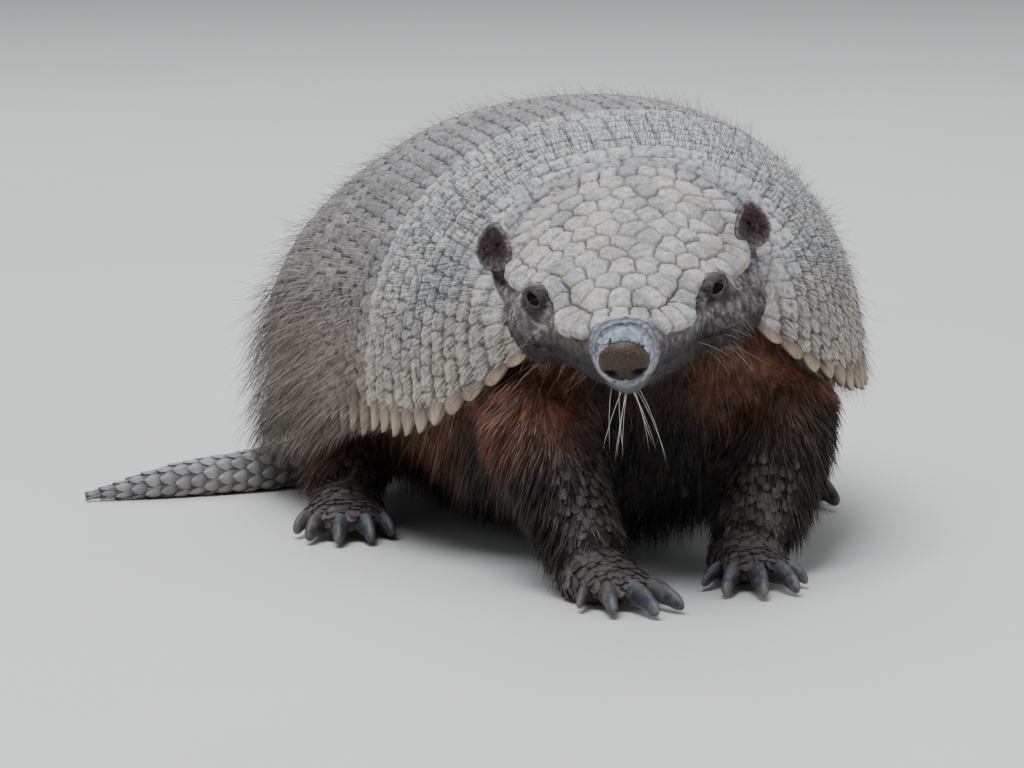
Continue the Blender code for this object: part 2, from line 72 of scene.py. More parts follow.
CM, MM = 0.01, 0.001
MIDDLE = np.array((0.0292, 0.0148, 0.0))  # the trunk's own origin, seen from the middle of the animal's box
SPINE_BEND = 60.0 * CM
BODY_ROLL, ROLL_HEIGHT = math.radians(4.5), 6.0 * CM
HEAD_ORIGIN = Vector((-0.97, -7.90, 11.80)) * CM + Vector(MIDDLE)
HEAD_YAW, HEAD_PITCH, HEAD_ROLL = math.radians(-14.5), math.radians(27.0), math.radians(-4.7)
EYE_PLACE, EYE_RADIUS = np.array((2.48, -5.35, -0.72)) * CM, 0.40 * CM
EYE_AXIS, LID_AXIS = np.array((0.34, -0.78, 0.52)), np.array((-0.65, -0.35, -0.65))
LID_HALF_LENGTH, LID_HALF_OPENING = math.radians(36), math.radians(20)
SKIN_STEP = 1.8 * MM  # width of a face on the trunk; head and feet are finer
SWELL = 0.5 * MM  # the flesh solids grow by this much, so that they fuse where they touch
FLESH = (
    "head", "neck", "trunk", "fore_leg_left", "fore_leg_right", "hind_leg_left", "hind_leg_right",
    "fore_foot_left", "fore_foot_right", "hind_foot_left", "hind_foot_right",
    "tail_base", "tail_middle", "tail_tip",
)
# loose skin that the flesh solids leave out, in centimetres: frame, middle, half-sizes, share of the height
# that is left below the middle, squareness
PADDING = (
    ("head", (0.05, -2.0, -2.8), (4.05, 3.6, 1.95), 0.3, 3.0),  # the fold between head and carapace
    ("head", (2.3, -4.2, -1.9), (1.2, 2.2, 1.3), 0.8, 2.0),  # cheeks
    ("head", (-2.3, -4.2, -1.9), (1.2, 2.2, 1.3), 1.0, 2.0),
    ("head", (2.35, -4.95, -1.18), (0.85, 1.05, 0.80), 1.0, 2.0),  # the swelling that the eyelids sit in
    ("head", (-2.35, -4.95, -1.18), (0.85, 1.05, 0.80), 1.0, 2.0),
    ("head", (2.48, -5.35, -0.72), (0.50, 0.50, 0.50), 1.0, 2.0),  # eyelids
    ("head", (-2.48, -5.35, -0.72), (0.50, 0.50, 0.50), 1.0, 2.0),
    ("trunk", (0.0, 9.7, 4.6), (4.6, 1.9, 1.9), 1.0, 2.6),  # the rump behind the last ring of the trunk
)
# depth of the coat over the skin, in millimetres
COAT_DEPTH = {"head": 0.3, "neck": 1.0, "trunk": 3.5, "leg": 2.6, "foot": 0.1, "tail": 0.9}


def linear(code):
    """Turns an sRGB hex colour into the linear numbers that a shader takes."""
    parts = [int(code[i : i + 2], 16) / 255 for i in (1, 3, 5)]
    return np.array([c / 12.92 if c <= 0.04045 else ((c + 0.055) / 1.055) ** 2.4 for c in parts])


def mix_of(start, end, share):
    """Colours part of the way from start to end, each a hex code or an array of linear colours."""
    start, end = (linear(colour) if isinstance(colour, str) else colour for colour in (start, end))
    return start + (end - start) * np.asarray(share)[..., None]


def add(material, kind, settings=None, **sockets):
    """Adds a node with its settings. Sockets, by name or as _ and a number, take a value or an output."""
    node = material.node_tree.nodes.new("ShaderNode" + kind)
    for name, value in (settings or {}).items():
        setattr(node, name, value)
    for name, value in sockets.items():
        socket = node.inputs[int(name[1:]) if name[0] == "_" else name.replace("_", " ")]
        if isinstance(value, bpy.types.NodeSocket):
            material.node_tree.links.new(value, socket)
        else:
            socket.default_value = value
    return node


def new_material(name, **sockets):
    """A Principled material, and its shader, with the constants that are the same all over."""
    material = bpy.data.materials.new(name)
    material.use_nodes = True
    shader = material.node_tree.nodes["Principled BSDF"]
    for key, value in sockets.items():
        shader.inputs[key.replace("_", " ")].default_value = value
    return material, shader


def shaded(material, colour, grey):
    """A colour that a pattern in grey makes darker and lighter."""
    channels = add(material, "CombineColor", Red=grey, Green=grey, Blue=grey)
    settings = {"data_type": "RGBA", "blend_type": "MULTIPLY"}
    return add(material, "Mix", settings, _0=1.0, _6=colour, _7=channels.outputs["Color"]).outputs[2]


def finish_with(material, shader, colour, roughness=None, bump=None, depth=0.3 * MM, strength=0.6):
    """Links the patterns of colour, roughness and fine relief to a shader."""
    links = material.node_tree.links
    links.new(colour, shader.inputs["Base Color"])
    if roughness is not None:
        links.new(roughness, shader.inputs["Roughness"])
    if bump is not None:
        relief = add(material, "Bump", Strength=strength, Distance=depth, Height=bump)
        links.new(relief.outputs["Normal"], shader.inputs["Normal"])


def in_pose(x, s, z):
    """Moves points of the straight, level trunk into the bent and slightly rolled pose."""
    cos, sin = math.cos(BODY_ROLL), math.sin(BODY_ROLL)
    up = z - ROLL_HEIGHT
    across = SPINE_BEND + x * cos - up * sin
    turned = across * np.cos(s / SPINE_BEND) - SPINE_BEND, across * np.sin(s / SPINE_BEND)
    return np.stack([*turned, ROLL_HEIGHT + up * cos + x * sin], axis=-1) + MIDDLE


def out_of_pose(places):
    """The way back: each point's x, s and z on the straight, level trunk."""
    x, y, z = np.moveaxis(places - MIDDLE, -1, 0)
    cos, sin = math.cos(BODY_ROLL), math.sin(BODY_ROLL)
    across = np.hypot(x + SPINE_BEND, y) - SPINE_BEND
    height = z - ROLL_HEIGHT
    s = np.arctan2(y, x + SPINE_BEND) * SPINE_BEND
    return across * cos + height * sin, s, height * cos - across * sin + ROLL_HEIGHT


def times(matrix, places, turn_only=False):
    """An array of points, or of directions, moved by a matrix."""
    m = np.array(matrix)
    return places @ m[:3, :3].T + (0 if turn_only else m[:3, 3])


def unit(vectors):
    """Vectors of length one."""
    return vectors / np.maximum(np.linalg.norm(vectors, axis=-1, keepdims=True), 1e-12)


def ramp(low, high, value):
    """Rises smoothly from 0 at low to 1 at high."""
    t = np.clip((value - low) / (high - low), 0, 1)
    return t * t * (3 - 2 * t)


def ripple(places, size, seed, layers=10):
    """A soft random pattern from -1 to 1 whose lumps are about one size across."""
    dice = np.random.default_rng(seed)
    total = np.zeros(places.shape[:-1])
    for _ in range(layers):
        way = unit(dice.normal(size=places.shape[-1])) * dice.uniform(0.6, 1.4) * math.pi / size
        total += np.sin(places @ way + dice.uniform(0, 2 * math.pi))
    return np.clip(total / math.sqrt(layers), -1.6, 1.6) / 1.6


def blended(values, edges, rounds, keep=None):
    """Averages values over neighbouring points again and again."""
    ends = np.concatenate([edges, edges[:, ::-1]])
    count = np.bincount(ends[:, 0], minlength=len(values))[:, None]
    for share in rounds:
        total = np.column_stack([
            np.bincount(ends[:, 0], weights=values[ends[:, 1], k], minlength=len(values))
            for k in range(values.shape[1])
        ])
        change = (total / np.maximum(count, 1) - values) * share
        values = values + (change if keep is None else change * keep[:, None])
    return values


def paint(mesh, marks):
    """Gives each point of a mesh the colour that its material starts from."""
    layer = mesh.attributes.new("marking", "FLOAT_COLOR", "POINT")
    colours = np.column_stack([marks, np.ones(len(marks))]).astype(np.float32)
    layer.data.foreach_set("color", colours.ravel())


def read_mesh(mesh):
    """A mesh's points, normals and edges as arrays."""
    places, normals = np.empty(len(mesh.vertices) * 3), np.empty(len(mesh.vertices) * 3)
    edges = np.empty(len(mesh.edges) * 2, int)
    mesh.vertices.foreach_get("co", places)
    mesh.vertices.foreach_get("normal", normals)
    mesh.edges.foreach_get("vertices", edges)
    return places.reshape(-1, 3), normals.reshape(-1, 3), edges.reshape(-1, 2)


def write_places(mesh, places):
    """Moves a mesh's points."""
    mesh.vertices.foreach_set("co", places.astype(np.float32).ravel())
    mesh.update()


def finer(mesh, wanted):
    """Halves the faces whose points are all wanted."""
    bm = bmesh.new()
    bm.from_mesh(mesh)
    bm.verts.ensure_lookup_table()
    edges = {e for f in bm.faces if all(wanted[v.index] for v in f.verts) for e in f.edges}
    bmesh.ops.subdivide_edges(bm, edges=list(edges), cuts=1, use_grid_fill=True)
    bmesh.ops.triangulate(bm, faces=[f for f in bm.faces if len(f.verts) > 4])
    bm.to_mesh(mesh)
    bm.free()


head_matrix = (
    Matrix.Translation(HEAD_ORIGIN)
    @ Matrix.Rotation(HEAD_YAW, 4, "Z")
    @ Matrix.Rotation(HEAD_PITCH, 4, "X")
    @ Matrix.Rotation(HEAD_ROLL, 4, "Y")
)
into_head = head_matrix.inverted()


def joined_flesh():
    """The flesh solids, swelled until they touch and fused, and a tree that tells which is nearest."""
    bm = bmesh.new()
    places, faces, owners = [], [], []

    def take(part, moved, owner):
        """Joins one body to the rest, with its points moved."""
        for vert, place in zip(part.verts, moved):
            vert.co = place
        faces.extend([len(places) + v.index for v in f.verts] for f in part.faces)
        places.extend(v.co.copy() for v in part.verts)
        owners.extend([owner] * len(part.faces))
        holder = bpy.data.meshes.new("body")
        part.to_mesh(holder)
        bm.from_mesh(holder)
        part.free()

    for k, name in enumerate(FLESH):
        solid = bmesh.new()
        solid.from_mesh(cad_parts[name].data)
        bmesh.ops.remove_doubles(solid, verts=solid.verts, dist=0.00001)
        solid.normal_update()
        take(solid, [v.co + v.normal * SWELL for v in solid.verts], k)
    for owner, middle, half_sizes, below, power in PADDING:
        pad = bmesh.new()
        bmesh.ops.create_icosphere(pad, subdivisions=4, radius=1.0)
        shape = np.array([v.co for v in pad.verts])
        shape = shape / (np.abs(shape) ** power).sum(axis=1, keepdims=True) ** (1 / power)
        shape[:, 2] *= np.where(shape[:, 2] < 0, below, 1)
        shape = (shape * half_sizes + middle) * CM
        shape = times(head_matrix, shape) if owner == "head" else in_pose(*shape.T)
        take(pad, shape.tolist(), FLESH.index(owner))
    mesh = bpy.data.meshes.new("skin")
    bm.to_mesh(mesh)
    bm.free()
    return mesh, BVHTree.FromPolygons(places, faces), owners


def fused(mesh):
    """The voxel remesh of overlapping closed bodies, as one surface."""
    holder = bpy.data.objects.new("skin", mesh)
    bpy.context.scene.collection.objects.link(holder)
    remesh = holder.modifiers.new("fuse", "REMESH")
    remesh.mode, remesh.voxel_size = "VOXEL", SKIN_STEP
    graph = bpy.context.evaluated_depsgraph_get()
    made = bpy.data.meshes.new_from_object(holder.evaluated_get(graph), depsgraph=graph)
    bpy.data.objects.remove(holder, do_unlink=True)
    return made


def flesh_shares(places, edges, nearest, owners, rounds=8):
    """How far each point belongs to each flesh solid, with soft borders."""
    shares = np.zeros((len(places), len(FLESH)))
    for i, place in enumerate(places):
        shares[i, owners[nearest.find_nearest(place)[2]]] = 1
    shares = blended(shares, edges, [0.8] * rounds)
    return dict(zip(FLESH, shares.T))


def group(shares, word):
    """The summed share of all flesh solids whose names hold a word."""
    return sum(share for name, share in shares.items() if word in name)


def from_nose(local):
    """Distance from the nose pad, in centimetres."""
    return np.linalg.norm((local / CM - (0.0, -9.25, -0.22)) * (1.0, 0.9, 1.05), axis=-1)


def muzzle_folds(local):
    """Height in millimetres, and depth of the grooves from 0 to 1, of the folds round the nose pad."""
    away = from_nose(local) + 0.035 * ripple(local, 5 * MM, 5)
    upper = ramp(-0.9, -0.3, local[..., 2] / CM)
    clear = ramp(7.75, 8.0, -local[..., 1] / CM)  # nothing rises under the head shield
    groove = sum(np.exp(-(((away - at) / 0.055) ** 2)) for at in (0.99, 1.20, 1.43)) * upper * clear
    swell = sum(np.exp(-(((away - at) / 0.09) ** 2)) for at in (1.09, 1.32)) * upper * clear
    ring = np.exp(-(((away - 0.86) / 0.10) ** 2)) * 0.5
    return ring + 0.6 * swell - 0.8 * groove, np.clip(groove, 0, 1)


def face_creases(local):
    """Fine folds of the loose cheek skin, from -1 to 1: they run down and back from the eye."""
    forward, x, z = -local[..., 1] / CM, local[..., 0] / CM, local[..., 2] / CM
    bend = z * 0.35 + forward * 0.95 + 0.30 * ripple(local, 7 * MM, 3) + 0.08 * ripple(local, 3 * MM, 6)
    fold = 1 - 2 * np.abs(np.sin(bend * math.pi / 0.22)) ** 0.6
    return fold * ramp(7.4, 6.2, forward) * ramp(1.0, 1.7, np.abs(x))


def shaped_head(places, normals, head_share):
    """Folds, muzzle rings, mouth line, eye sockets and lids, worked in the head's own frame."""
    local = times(into_head, places)
    out = times(into_head, normals, turn_only=True)
    forward = -local[:, 1] / CM
    z = local[:, 2] / CM
    # a rounded ring round the nose pad, and two folds that arch over the muzzle behind it
    lift = (muzzle_folds(local)[0] - 1.2 * ramp(7.4, 8.2, forward) * ramp(-0.8, -0.2, z)) * MM
    # the mouth, a thin line under the muzzle's side
    lip = -1.28 - 0.17 * (8.9 - forward)
    lift -= 0.9 * MM * np.exp(-(((z - lip) / 0.09) ** 2)) * ramp(5.4, 6.2, forward) * ramp(9.3, 9.0, forward)
    # loose cheek skin in creases, and pebbled skin all over the face
    lift += 0.42 * MM * face_creases(local)
    lift += 0.32 * MM * ripple(local, 1.3 * MM, 4, 16)
    local = local + out * (lift * head_share)[:, None]
    local[:, 0] *= 1 - 0.13 * ramp(7.0, 8.3, forward) * head_share
    for side in (1, -1):
        eye = EYE_PLACE * (side, 1, 1)
        axis = unit(EYE_AXIS * (side, 1, 1))
        along = LID_AXIS * (side, 1, 1)
        along = unit(along - axis * (along @ axis))
        across = np.cross(axis, along)
        gap = local - eye
        radius = np.linalg.norm(gap, axis=1)
        ahead, a, b = gap @ axis, gap @ along, gap @ across
        opening = np.hypot(
            np.arctan2(a, np.maximum(ahead, 1e-6)) / LID_HALF_LENGTH,
            np.arctan2(b, np.maximum(ahead, 1e-6)) / LID_HALF_OPENING,
        )
        rim = 1.17 + 0.06 * np.cos((opening - 1.2) * 2 * math.pi / 0.5) * ramp(1.0, 1.2, opening)
        wanted = EYE_RADIUS * np.where(opening < 1, 0.80 + 0.37 * ramp(0.84, 1.0, opening), rim)
        near = (ahead > 0) * ramp(3.0, 1.9, opening) * ramp(2.4, 1.6, radius / EYE_RADIUS)
        radius_now = radius + (wanted - radius) * near * head_share
        covered = np.where((radius < 1.5 * EYE_RADIUS) & ((ahead < 0) | (opening > 1)), 1.10 * EYE_RADIUS, 0)
        local += unit(gap) * (np.maximum(radius_now, covered) - radius)[:, None]
    return times(head_matrix, local)


def skin_colours_and_shade(places, shares):
    """Colours of skin and coat by place, with painted shade in folds, under jaw and muzzle, mid-throat."""
    _, s, z = out_of_pose(places)
    local = times(into_head, places)
    forward, low = -local[:, 1] / CM, local[:, 2] / CM
    head, tail, foot = shares["head"], group(shares, "tail"), group(shares, "foot")
    cloud = ripple(places, 14 * MM, 11)
    fine = ripple(places, 3 * MM, 12)
    pebbles = ripple(places, 1.4 * MM, 13, 16)
    # rust on shoulder, chest and upper flank, dark low down, and painted shade in the middle of the throat
    line = 4.7 - 1.6 * ramp(-7, -3, s / CM)
    rust = ramp(line - 0.7, line + 0.8, z / CM + 0.5 * cloud) * ramp(6.5, 3.0, s / CM)
    # painted shade between the forelegs: less rust, so darker colour, in the middle of the throat
    rust *= 0.2 + 0.8 * ramp(0.9, 2.3, np.abs(local[:, 0] / CM) + 0.4 * cloud)
    rufous = mix_of("#8A583F", "#5A3A2A", ramp(-0.5, 0.7, fine + 0.5 * cloud))
    colour = mix_of("#181311", "#30221B", 0.6 * ramp(-0.2, 0.8, fine))
    colour = mix_of(colour, rufous, rust * (1 - tail))
    # wrinkled purple-grey face and neck with pale dusty specks, dark on the lids, with painted shade along
    # the jaw
    face = mix_of("#837A7A", "#564B4B", ramp(-0.6, 0.8, fine + 0.4 * cloud))
    face = mix_of(face, "#AFA8A2", 0.6 * ramp(-0.1, 0.6, pebbles))
    # painted shade in the troughs of the cheek creases, and a painted highlight on their crests
    face *= (0.76 + 0.34 * face_creases(local))[:, None]
    near_eye = np.min([
        np.linalg.norm(local / CM - EYE_PLACE / CM * (side, 1, 1) - EYE_AXIS * 0.35 * (side, 1, 1), axis=-1)
        for side in (1, -1)
    ], axis=0)
    face = mix_of(face, "#2E2729", 0.85 * ramp(0.62, 0.34, near_eye + 0.05 * pebbles))
    # painted shade under the head: the face darkens below a line along the jaw
    jaw = -0.8 - 0.42 * (7.5 - forward)
    face = mix_of(face, "#221C1B", 0.9 * ramp(jaw + 0.3, jaw - 0.5, low + 0.15 * fine))
    # blue-grey muzzle, with painted shade in the grooves of its folds and on its underside
    speck = ripple(places, 1.1 * MM, 14, 14)
    muzzle = mix_of("#999EA6", "#65676B", ramp(-0.3, 1.2, speck + 0.5 * fine))
    muzzle = mix_of(muzzle, "#2A282A", 0.8 * muzzle_folds(local)[1])
    # painted shade on the muzzle's lower side
    muzzle = mix_of(muzzle, "#403B37", 0.8 * ramp(-0.8, -1.4, low))
    beside = from_nose(local) + 0.75 * np.abs(local[:, 0]) / CM + 0.12 * fine
    face = mix_of(face, muzzle, ramp(2.2, 1.8, beside))
    colour = mix_of(colour, face, head)
    colour = mix_of(colour, mix_of("#5A4A45", "#3C302D", ramp(-0.4, 0.7, fine)), foot)
    return mix_of(colour, "#4A4746", tail)


def skin_material():
    """Living skin, matt and creased, with a slight gleam: mottled every 2 mm, with creases 1.3 mm apart."""
    material, shader = new_material("creased_skin", Roughness=0.6, IOR=1.4, Subsurface_Weight=0.0)
    mark = add(material, "Attribute", {"attribute_name": "marking"}).outputs["Color"]
    place = add(material, "TexCoord").outputs["Object"]
    mottle = add(material, "TexNoise", Vector=place, Scale=0.5 / MM, Detail=4.0, Roughness=0.65)
    shade = add(material, "MapRange", Value=mottle.outputs["Fac"], _3=0.55, _4=1.5)
    colour = shaded(material, mark, shade.outputs["Result"])
    creases = add(material, "TexVoronoi", {"feature": "DISTANCE_TO_EDGE"}, Vector=place, Scale=0.75 / MM)
    gleam = add(material, "MapRange", Value=mottle.outputs["Fac"], _3=0.48, _4=0.8)
    finish_with(material, shader, colour, gleam.outputs["Result"], creases.outputs["Distance"], 0.7 * MM, 0.8)
    return material


flesh, nearest_flesh, flesh_owners = joined_flesh()
skin_mesh = fused(flesh)
places, _, edges = read_mesh(skin_mesh)
write_places(skin_mesh, blended(places, edges, [0.6, -0.62] * 12))
# finer faces first on head and feet, then once more on the muzzle and round the eyes
for whole in (True, False):
    places, _, _ = read_mesh(skin_mesh)
    local = times(into_head, places) / CM
    if whole:
        wanted = (-local[:, 1] > 0.0) & (local[:, 2] > -5)
        wanted |= (places[:, 2] < 2.2 * CM) & (places[:, 1] < 8.5 * CM)
    else:
        eyes_near = np.min([
            np.linalg.norm(local - EYE_PLACE * (side, 1, 1) / CM, axis=1) for side in (1, -1)
        ], axis=0)
        wanted = (-local[:, 1] > 7.3) & (local[:, 2] > -5) | (eyes_near < 1.7)
    finer(skin_mesh, wanted)
places, _, edges = read_mesh(skin_mesh)
write_places(skin_mesh, blended(places, edges, [0.5, -0.52] * 4))
places, normals, edges = read_mesh(skin_mesh)
shares = flesh_shares(places, edges, nearest_flesh, flesh_owners)
# the skin lies under the coat, by half a millimetre more than the coat's depth
depth = COAT_DEPTH["trunk"] * shares["trunk"] * ramp(6.0 * CM, 4.5 * CM, places[:, 2])
depth += COAT_DEPTH["head"] * shares["head"]
depth += COAT_DEPTH["neck"] * shares["neck"] + COAT_DEPTH["tail"] * group(shares, "tail")
depth += COAT_DEPTH["foot"] * group(shares, "foot")
depth += COAT_DEPTH["leg"] * group(shares, "leg") * ramp(1.0 * CM, 3.0 * CM, places[:, 2])
places = places - normals * ((depth + 0.5) * MM)[:, None]
places[:, 2] = np.maximum(places[:, 2], 0.0)
write_places(skin_mesh, places)
places, normals, _ = read_mesh(skin_mesh)
write_places(skin_mesh, shaped_head(places, normals, ramp(0.2, 0.8, shares["head"])))
skin_places, skin_normals, _ = read_mesh(skin_mesh)
skin_mesh.shade_smooth()
paint(skin_mesh, skin_colours_and_shade(skin_places, shares))
skin_mesh.materials.append(skin_material())
skin = bpy.data.objects.new("skin", skin_mesh)
bpy.context.scene.collection.objects.link(skin)
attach(skin, "root")
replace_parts(skin, *FLESH)

# -------------------------------------------------------------------------------- eyes
# Two small eyeballs of wet, clear tissue over a nearly black iris. Each sits deep in its socket, behind the
# wrinkled lids that the skin forms round it.


def make_piece(name, places, faces, material, marks=None):
    """One smooth piece of the armadillo from points, arrays of faces and the colours of the points."""
    mesh = bpy.data.meshes.new(name)
    corners = np.concatenate([np.asarray(part).ravel() for part in faces]).astype(np.int32)
    sizes = np.concatenate([np.full(len(part), part.shape[1]) for part in faces])
    mesh.vertices.add(len(places))
    mesh.vertices.foreach_set("co", np.ascontiguousarray(places, np.float32).ravel())
    mesh.loops.add(len(corners))
    mesh.loops.foreach_set("vertex_index", corners)
    mesh.polygons.add(len(sizes))
    mesh.polygons.foreach_set("loop_start", (np.cumsum(sizes) - sizes).astype(np.int32))
    mesh.update(calc_edges=True)
    mesh.shade_smooth()
    if marks is not None:
        paint(mesh, marks)
    mesh.materials.append(material)
    piece = bpy.data.objects.new(name, mesh)
    bpy.context.scene.collection.objects.link(piece)
    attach(piece, "root")
    return piece


def grid_faces(rows, columns, around=False, first=0):
    """Four-cornered faces between rows of points; around also joins each row's end to its start."""
    i, j = np.meshgrid(np.arange(rows - 1), np.arange(columns if around else columns - 1), indexing="ij")
    i, j, k = i.ravel(), j.ravel(), (j.ravel() + 1) % columns
    corners = i * columns + j, i * columns + k, (i + 1) * columns + k, (i + 1) * columns + j
    return np.column_stack(corners) + first


def eye_material():
    """A wet eyeball: brown-black iris and pupil, flecked every 0.8 mm, under a glossy cornea."""
    material, shader = new_material("wet_eyeball", Roughness=0.1, IOR=1.36, Specular_IOR_Level=0.12)
    place = add(material, "TexCoord").outputs["Object"]
    fleck = add(material, "TexNoise", Vector=place, Scale=1.2 / MM, Detail=3.0)
    colour = add(material, "Mix", {"data_type": "RGBA"}, _0=fleck.outputs["Fac"])
    colour.inputs[6].default_value = (*linear("#080606"), 1)
    colour.inputs[7].default_value = (*linear("#1E140F"), 1)
    finish_with(material, shader, colour.outputs[2])
    return material


def ball(size, place, matrix, rings=24, around=32):
    """Points and faces of a rounded body in a frame of its own."""
    polar, turn = np.meshgrid(
        np.linspace(0.02, math.pi - 0.02, rings), np.arange(around) * 2 * math.pi / around, indexing="ij"
    )
    points = np.stack([np.sin(polar) * np.cos(turn), np.sin(polar) * np.sin(turn), np.cos(polar)], axis=-1)
    points = points.reshape(-1, 3) * size + place
    ends = np.array([points[:around].mean(axis=0), points[-around:].mean(axis=0)])
    quads = grid_faces(rings, around, around=True)
    j, first_end, rear = np.arange(around), rings * around, (rings - 1) * around
    k = (j + 1) % around
    caps = np.concatenate([
        np.column_stack([np.full(around, first_end), k, j]),
        np.column_stack([np.full(around, first_end + 1), rear + j, rear + k]),
    ])
    triangles = np.concatenate([quads[:, :3], quads[:, [0, 2, 3]], caps])
    return times(matrix, np.concatenate([points, ends])), triangles[:, ::-1]


eyeball = eye_material()
for name, side in (("eye_left", 1), ("eye_right", -1)):
    points, triangles = ball(EYE_RADIUS, EYE_PLACE * (side, 1, 1), head_matrix)
    eye = make_piece(name + "_ball", points, [triangles], eyeball)
    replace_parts(eye, name)

# -------------------------------------------------------------------------------- nose
# The moist brown pad at the tip of the snout: bare, finely pitted skin over gristle, with a nostril low on
# each side. It grows out of the muzzle, and sand from digging sticks to its dry upper part.

NOSE_SIZE = np.array((0.71, 0.38, 0.60)) * CM
NOSE_PLACE = np.array((0.0, -9.32, -0.25)) * CM
NOSTRIL = np.array((0.50, -0.80, -0.44))  # place, as shares of the pad's size
NOSTRIL_SIZE = np.array((1.9, 2.6, 1.2)) * MM


def nose_material():
    """Moist bare skin: fine pits, and grains of sand 0.3 mm across on the dry upper part."""
    material, shader = new_material("moist_nose_skin", Roughness=0.4, IOR=1.4)
    place = add(material, "TexCoord").outputs["Object"]
    grain = add(material, "TexVoronoi", Vector=place, Scale=2.1 / MM)
    mottle = add(material, "TexNoise", Vector=place, Scale=0.8 / MM, Detail=5.0)
    base = add(material, "Mix", {"data_type": "RGBA"}, _0=mottle.outputs["Fac"])
    base.inputs[6].default_value = (*linear("#1E1711"), 1)
    base.inputs[7].default_value = (*linear("#4B3B2B"), 1)
    sand = add(material, "MapRange", Value=grain.outputs["Distance"], _1=0.34, _2=0.2)
    stuck = add(
        material, "Math", {"operation": "MULTIPLY"}, _0=sand.outputs["Result"], _1=mottle.outputs["Fac"]
    )
    dusty = add(material, "Mix", {"data_type": "RGBA"}, _0=stuck.outputs["Value"], _6=base.outputs[2])
    dusty.inputs[7].default_value = (*linear("#84704F"), 1)
    mark = add(material, "Attribute", {"attribute_name": "marking"}).outputs["Color"]
    settings = {"data_type": "RGBA", "blend_type": "MULTIPLY"}
    colour = add(material, "Mix", settings, _0=1.0, _6=dusty.outputs[2], _7=mark)
    wet = add(material, "MapRange", Value=mottle.outputs["Fac"], _3=0.3, _4=0.65)
    finish_with(
        material, shader, colour.outputs[2], wet.outputs["Result"], grain.outputs["Distance"], 0.2 * MM, 0.5
    )
    return material


points, triangles = ball(NOSE_SIZE, NOSE_PLACE, Matrix(), 60, 72)
# the pad darkens towards its lower side; painted shade darkens the nostril hollows
shade = 0.45 + 0.55 * ramp(-0.55 * CM, 0.05 * CM, points[:, 2])
for side in (1, -1):
    gap = (points - NOSE_PLACE - NOSE_SIZE * NOSTRIL * (side, 1, 1)) / NOSTRIL_SIZE
    hollow = np.exp(-(gap**2).sum(axis=1))
    shade = shade * (1 - 0.85 * hollow)
    points = points + np.array((0, 1, 0)) * (3.0 * MM * hollow)[:, None]
marks = np.repeat(shade[:, None], 3, axis=1)
# the groove down the middle of the upper lip
groove = 0.5 * MM * np.exp(-((points[:, 0] / (0.5 * MM)) ** 2))
points[:, 2] += groove * ramp(-0.5 * CM, -0.7 * CM, points[:, 2])
nose = make_piece("nose_pad", times(head_matrix, points), [triangles], nose_material(), marks)
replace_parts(nose, "nose")

# -------------------------------------------------------------------------------- ears
# Thin cupped leaves of granular, purple-brown skin over gristle. They grow from the sides of the head, and
# stand behind the corners of the head shield.

EAR_MIDDLE, EAR_LONG = np.array((3.74, -2.62, -0.92)) * CM, unit(np.array((-0.20, 0.15, 0.95)))
EAR_FACE = unit(np.array((0.40, -0.88, 0.20)))
EAR_HALF_HEIGHT, EAR_HALF_WIDTH, EAR_CUP, EAR_THICK = 0.62 * CM, 0.50 * CM, 0.36 * CM, 1.2 * MM


def ear_material():
    """Bare skin with beads 1.1 mm apart, purple brown inside and dusty grey along the rim."""
    material, shader = new_material("beaded_ear_skin", Roughness=0.62, IOR=1.4)
    mark = add(material, "Attribute", {"attribute_name": "marking"}).outputs["Color"]
    place = add(material, "TexCoord").outputs["Object"]
    beads = add(material, "TexVoronoi", Vector=place, Scale=0.9 / MM)
    shade = add(material, "Mix", {"data_type": "RGBA"}, _0=beads.outputs["Distance"], _6=mark)
    shade.inputs[7].default_value = (*linear("#2A1E20"), 1)
    finish_with(material, shader, shade.outputs[2], None, beads.outputs["Distance"], -0.5 * MM, 0.8)
    return material


def make_ear(name, side, size, shift, material):
    """A cup with a rounded rim: from the bottom of its inside over the rim to the back, as one surface."""
    rows, around = 41, 56
    way, turn = np.meshgrid(np.linspace(0, 2, rows), np.arange(around) * 2 * math.pi / around, indexing="ij")
    inside = ramp(1.12, 0.88, way)
    reach = np.clip(1 - np.abs(way - 1), 0.0005, 1) ** 0.7
    pointed = 1 + 0.28 * np.clip(np.cos(turn - 0.25), 0, 1) ** 5
    wide = unit(np.cross(EAR_FACE, EAR_LONG))
    tall = EAR_HALF_HEIGHT * np.cos(turn) * pointed * reach
    broad = -EAR_HALF_WIDTH * np.sin(turn) * reach * (1 + 0.05 * np.sin(3 * turn))
    grow = 1 + (1 - inside) * 0.16
    back = EAR_CUP * (1 - reach**2) + EAR_THICK * (1 - inside) * 1.2 - 0.10 * CM * np.sin(turn) ** 2
    points = EAR_MIDDLE + EAR_LONG * (tall * grow)[..., None] + wide * (broad * grow)[..., None]
    points -= EAR_FACE * back[..., None]
    points += unit(points - EAR_MIDDLE) * (0.22 * MM * ripple(points, 1.6 * MM, 21))[..., None]
    points = (EAR_MIDDLE + (points.reshape(-1, 3) - EAR_MIDDLE) * size + np.array(shift) * CM) * (side, 1, 1)
    rim = np.exp(-(((way - 1) / 0.16) ** 2)).ravel()
    deep = ramp(0.75, 0.1, reach).ravel() * inside.ravel()
    # a pale grey rim, and painted shade that darkens the cup's inside by up to half towards its bottom
    marks = mix_of("#66575A", "#968C8B", 0.9 * rim) * (1 - 0.5 * deep[:, None])
    faces = grid_faces(rows, around, around=True)
    if side < 0:
        faces = faces[:, ::-1]
    return make_piece(name, times(head_matrix, points), [faces], material, marks)


ear_skin = ear_material()
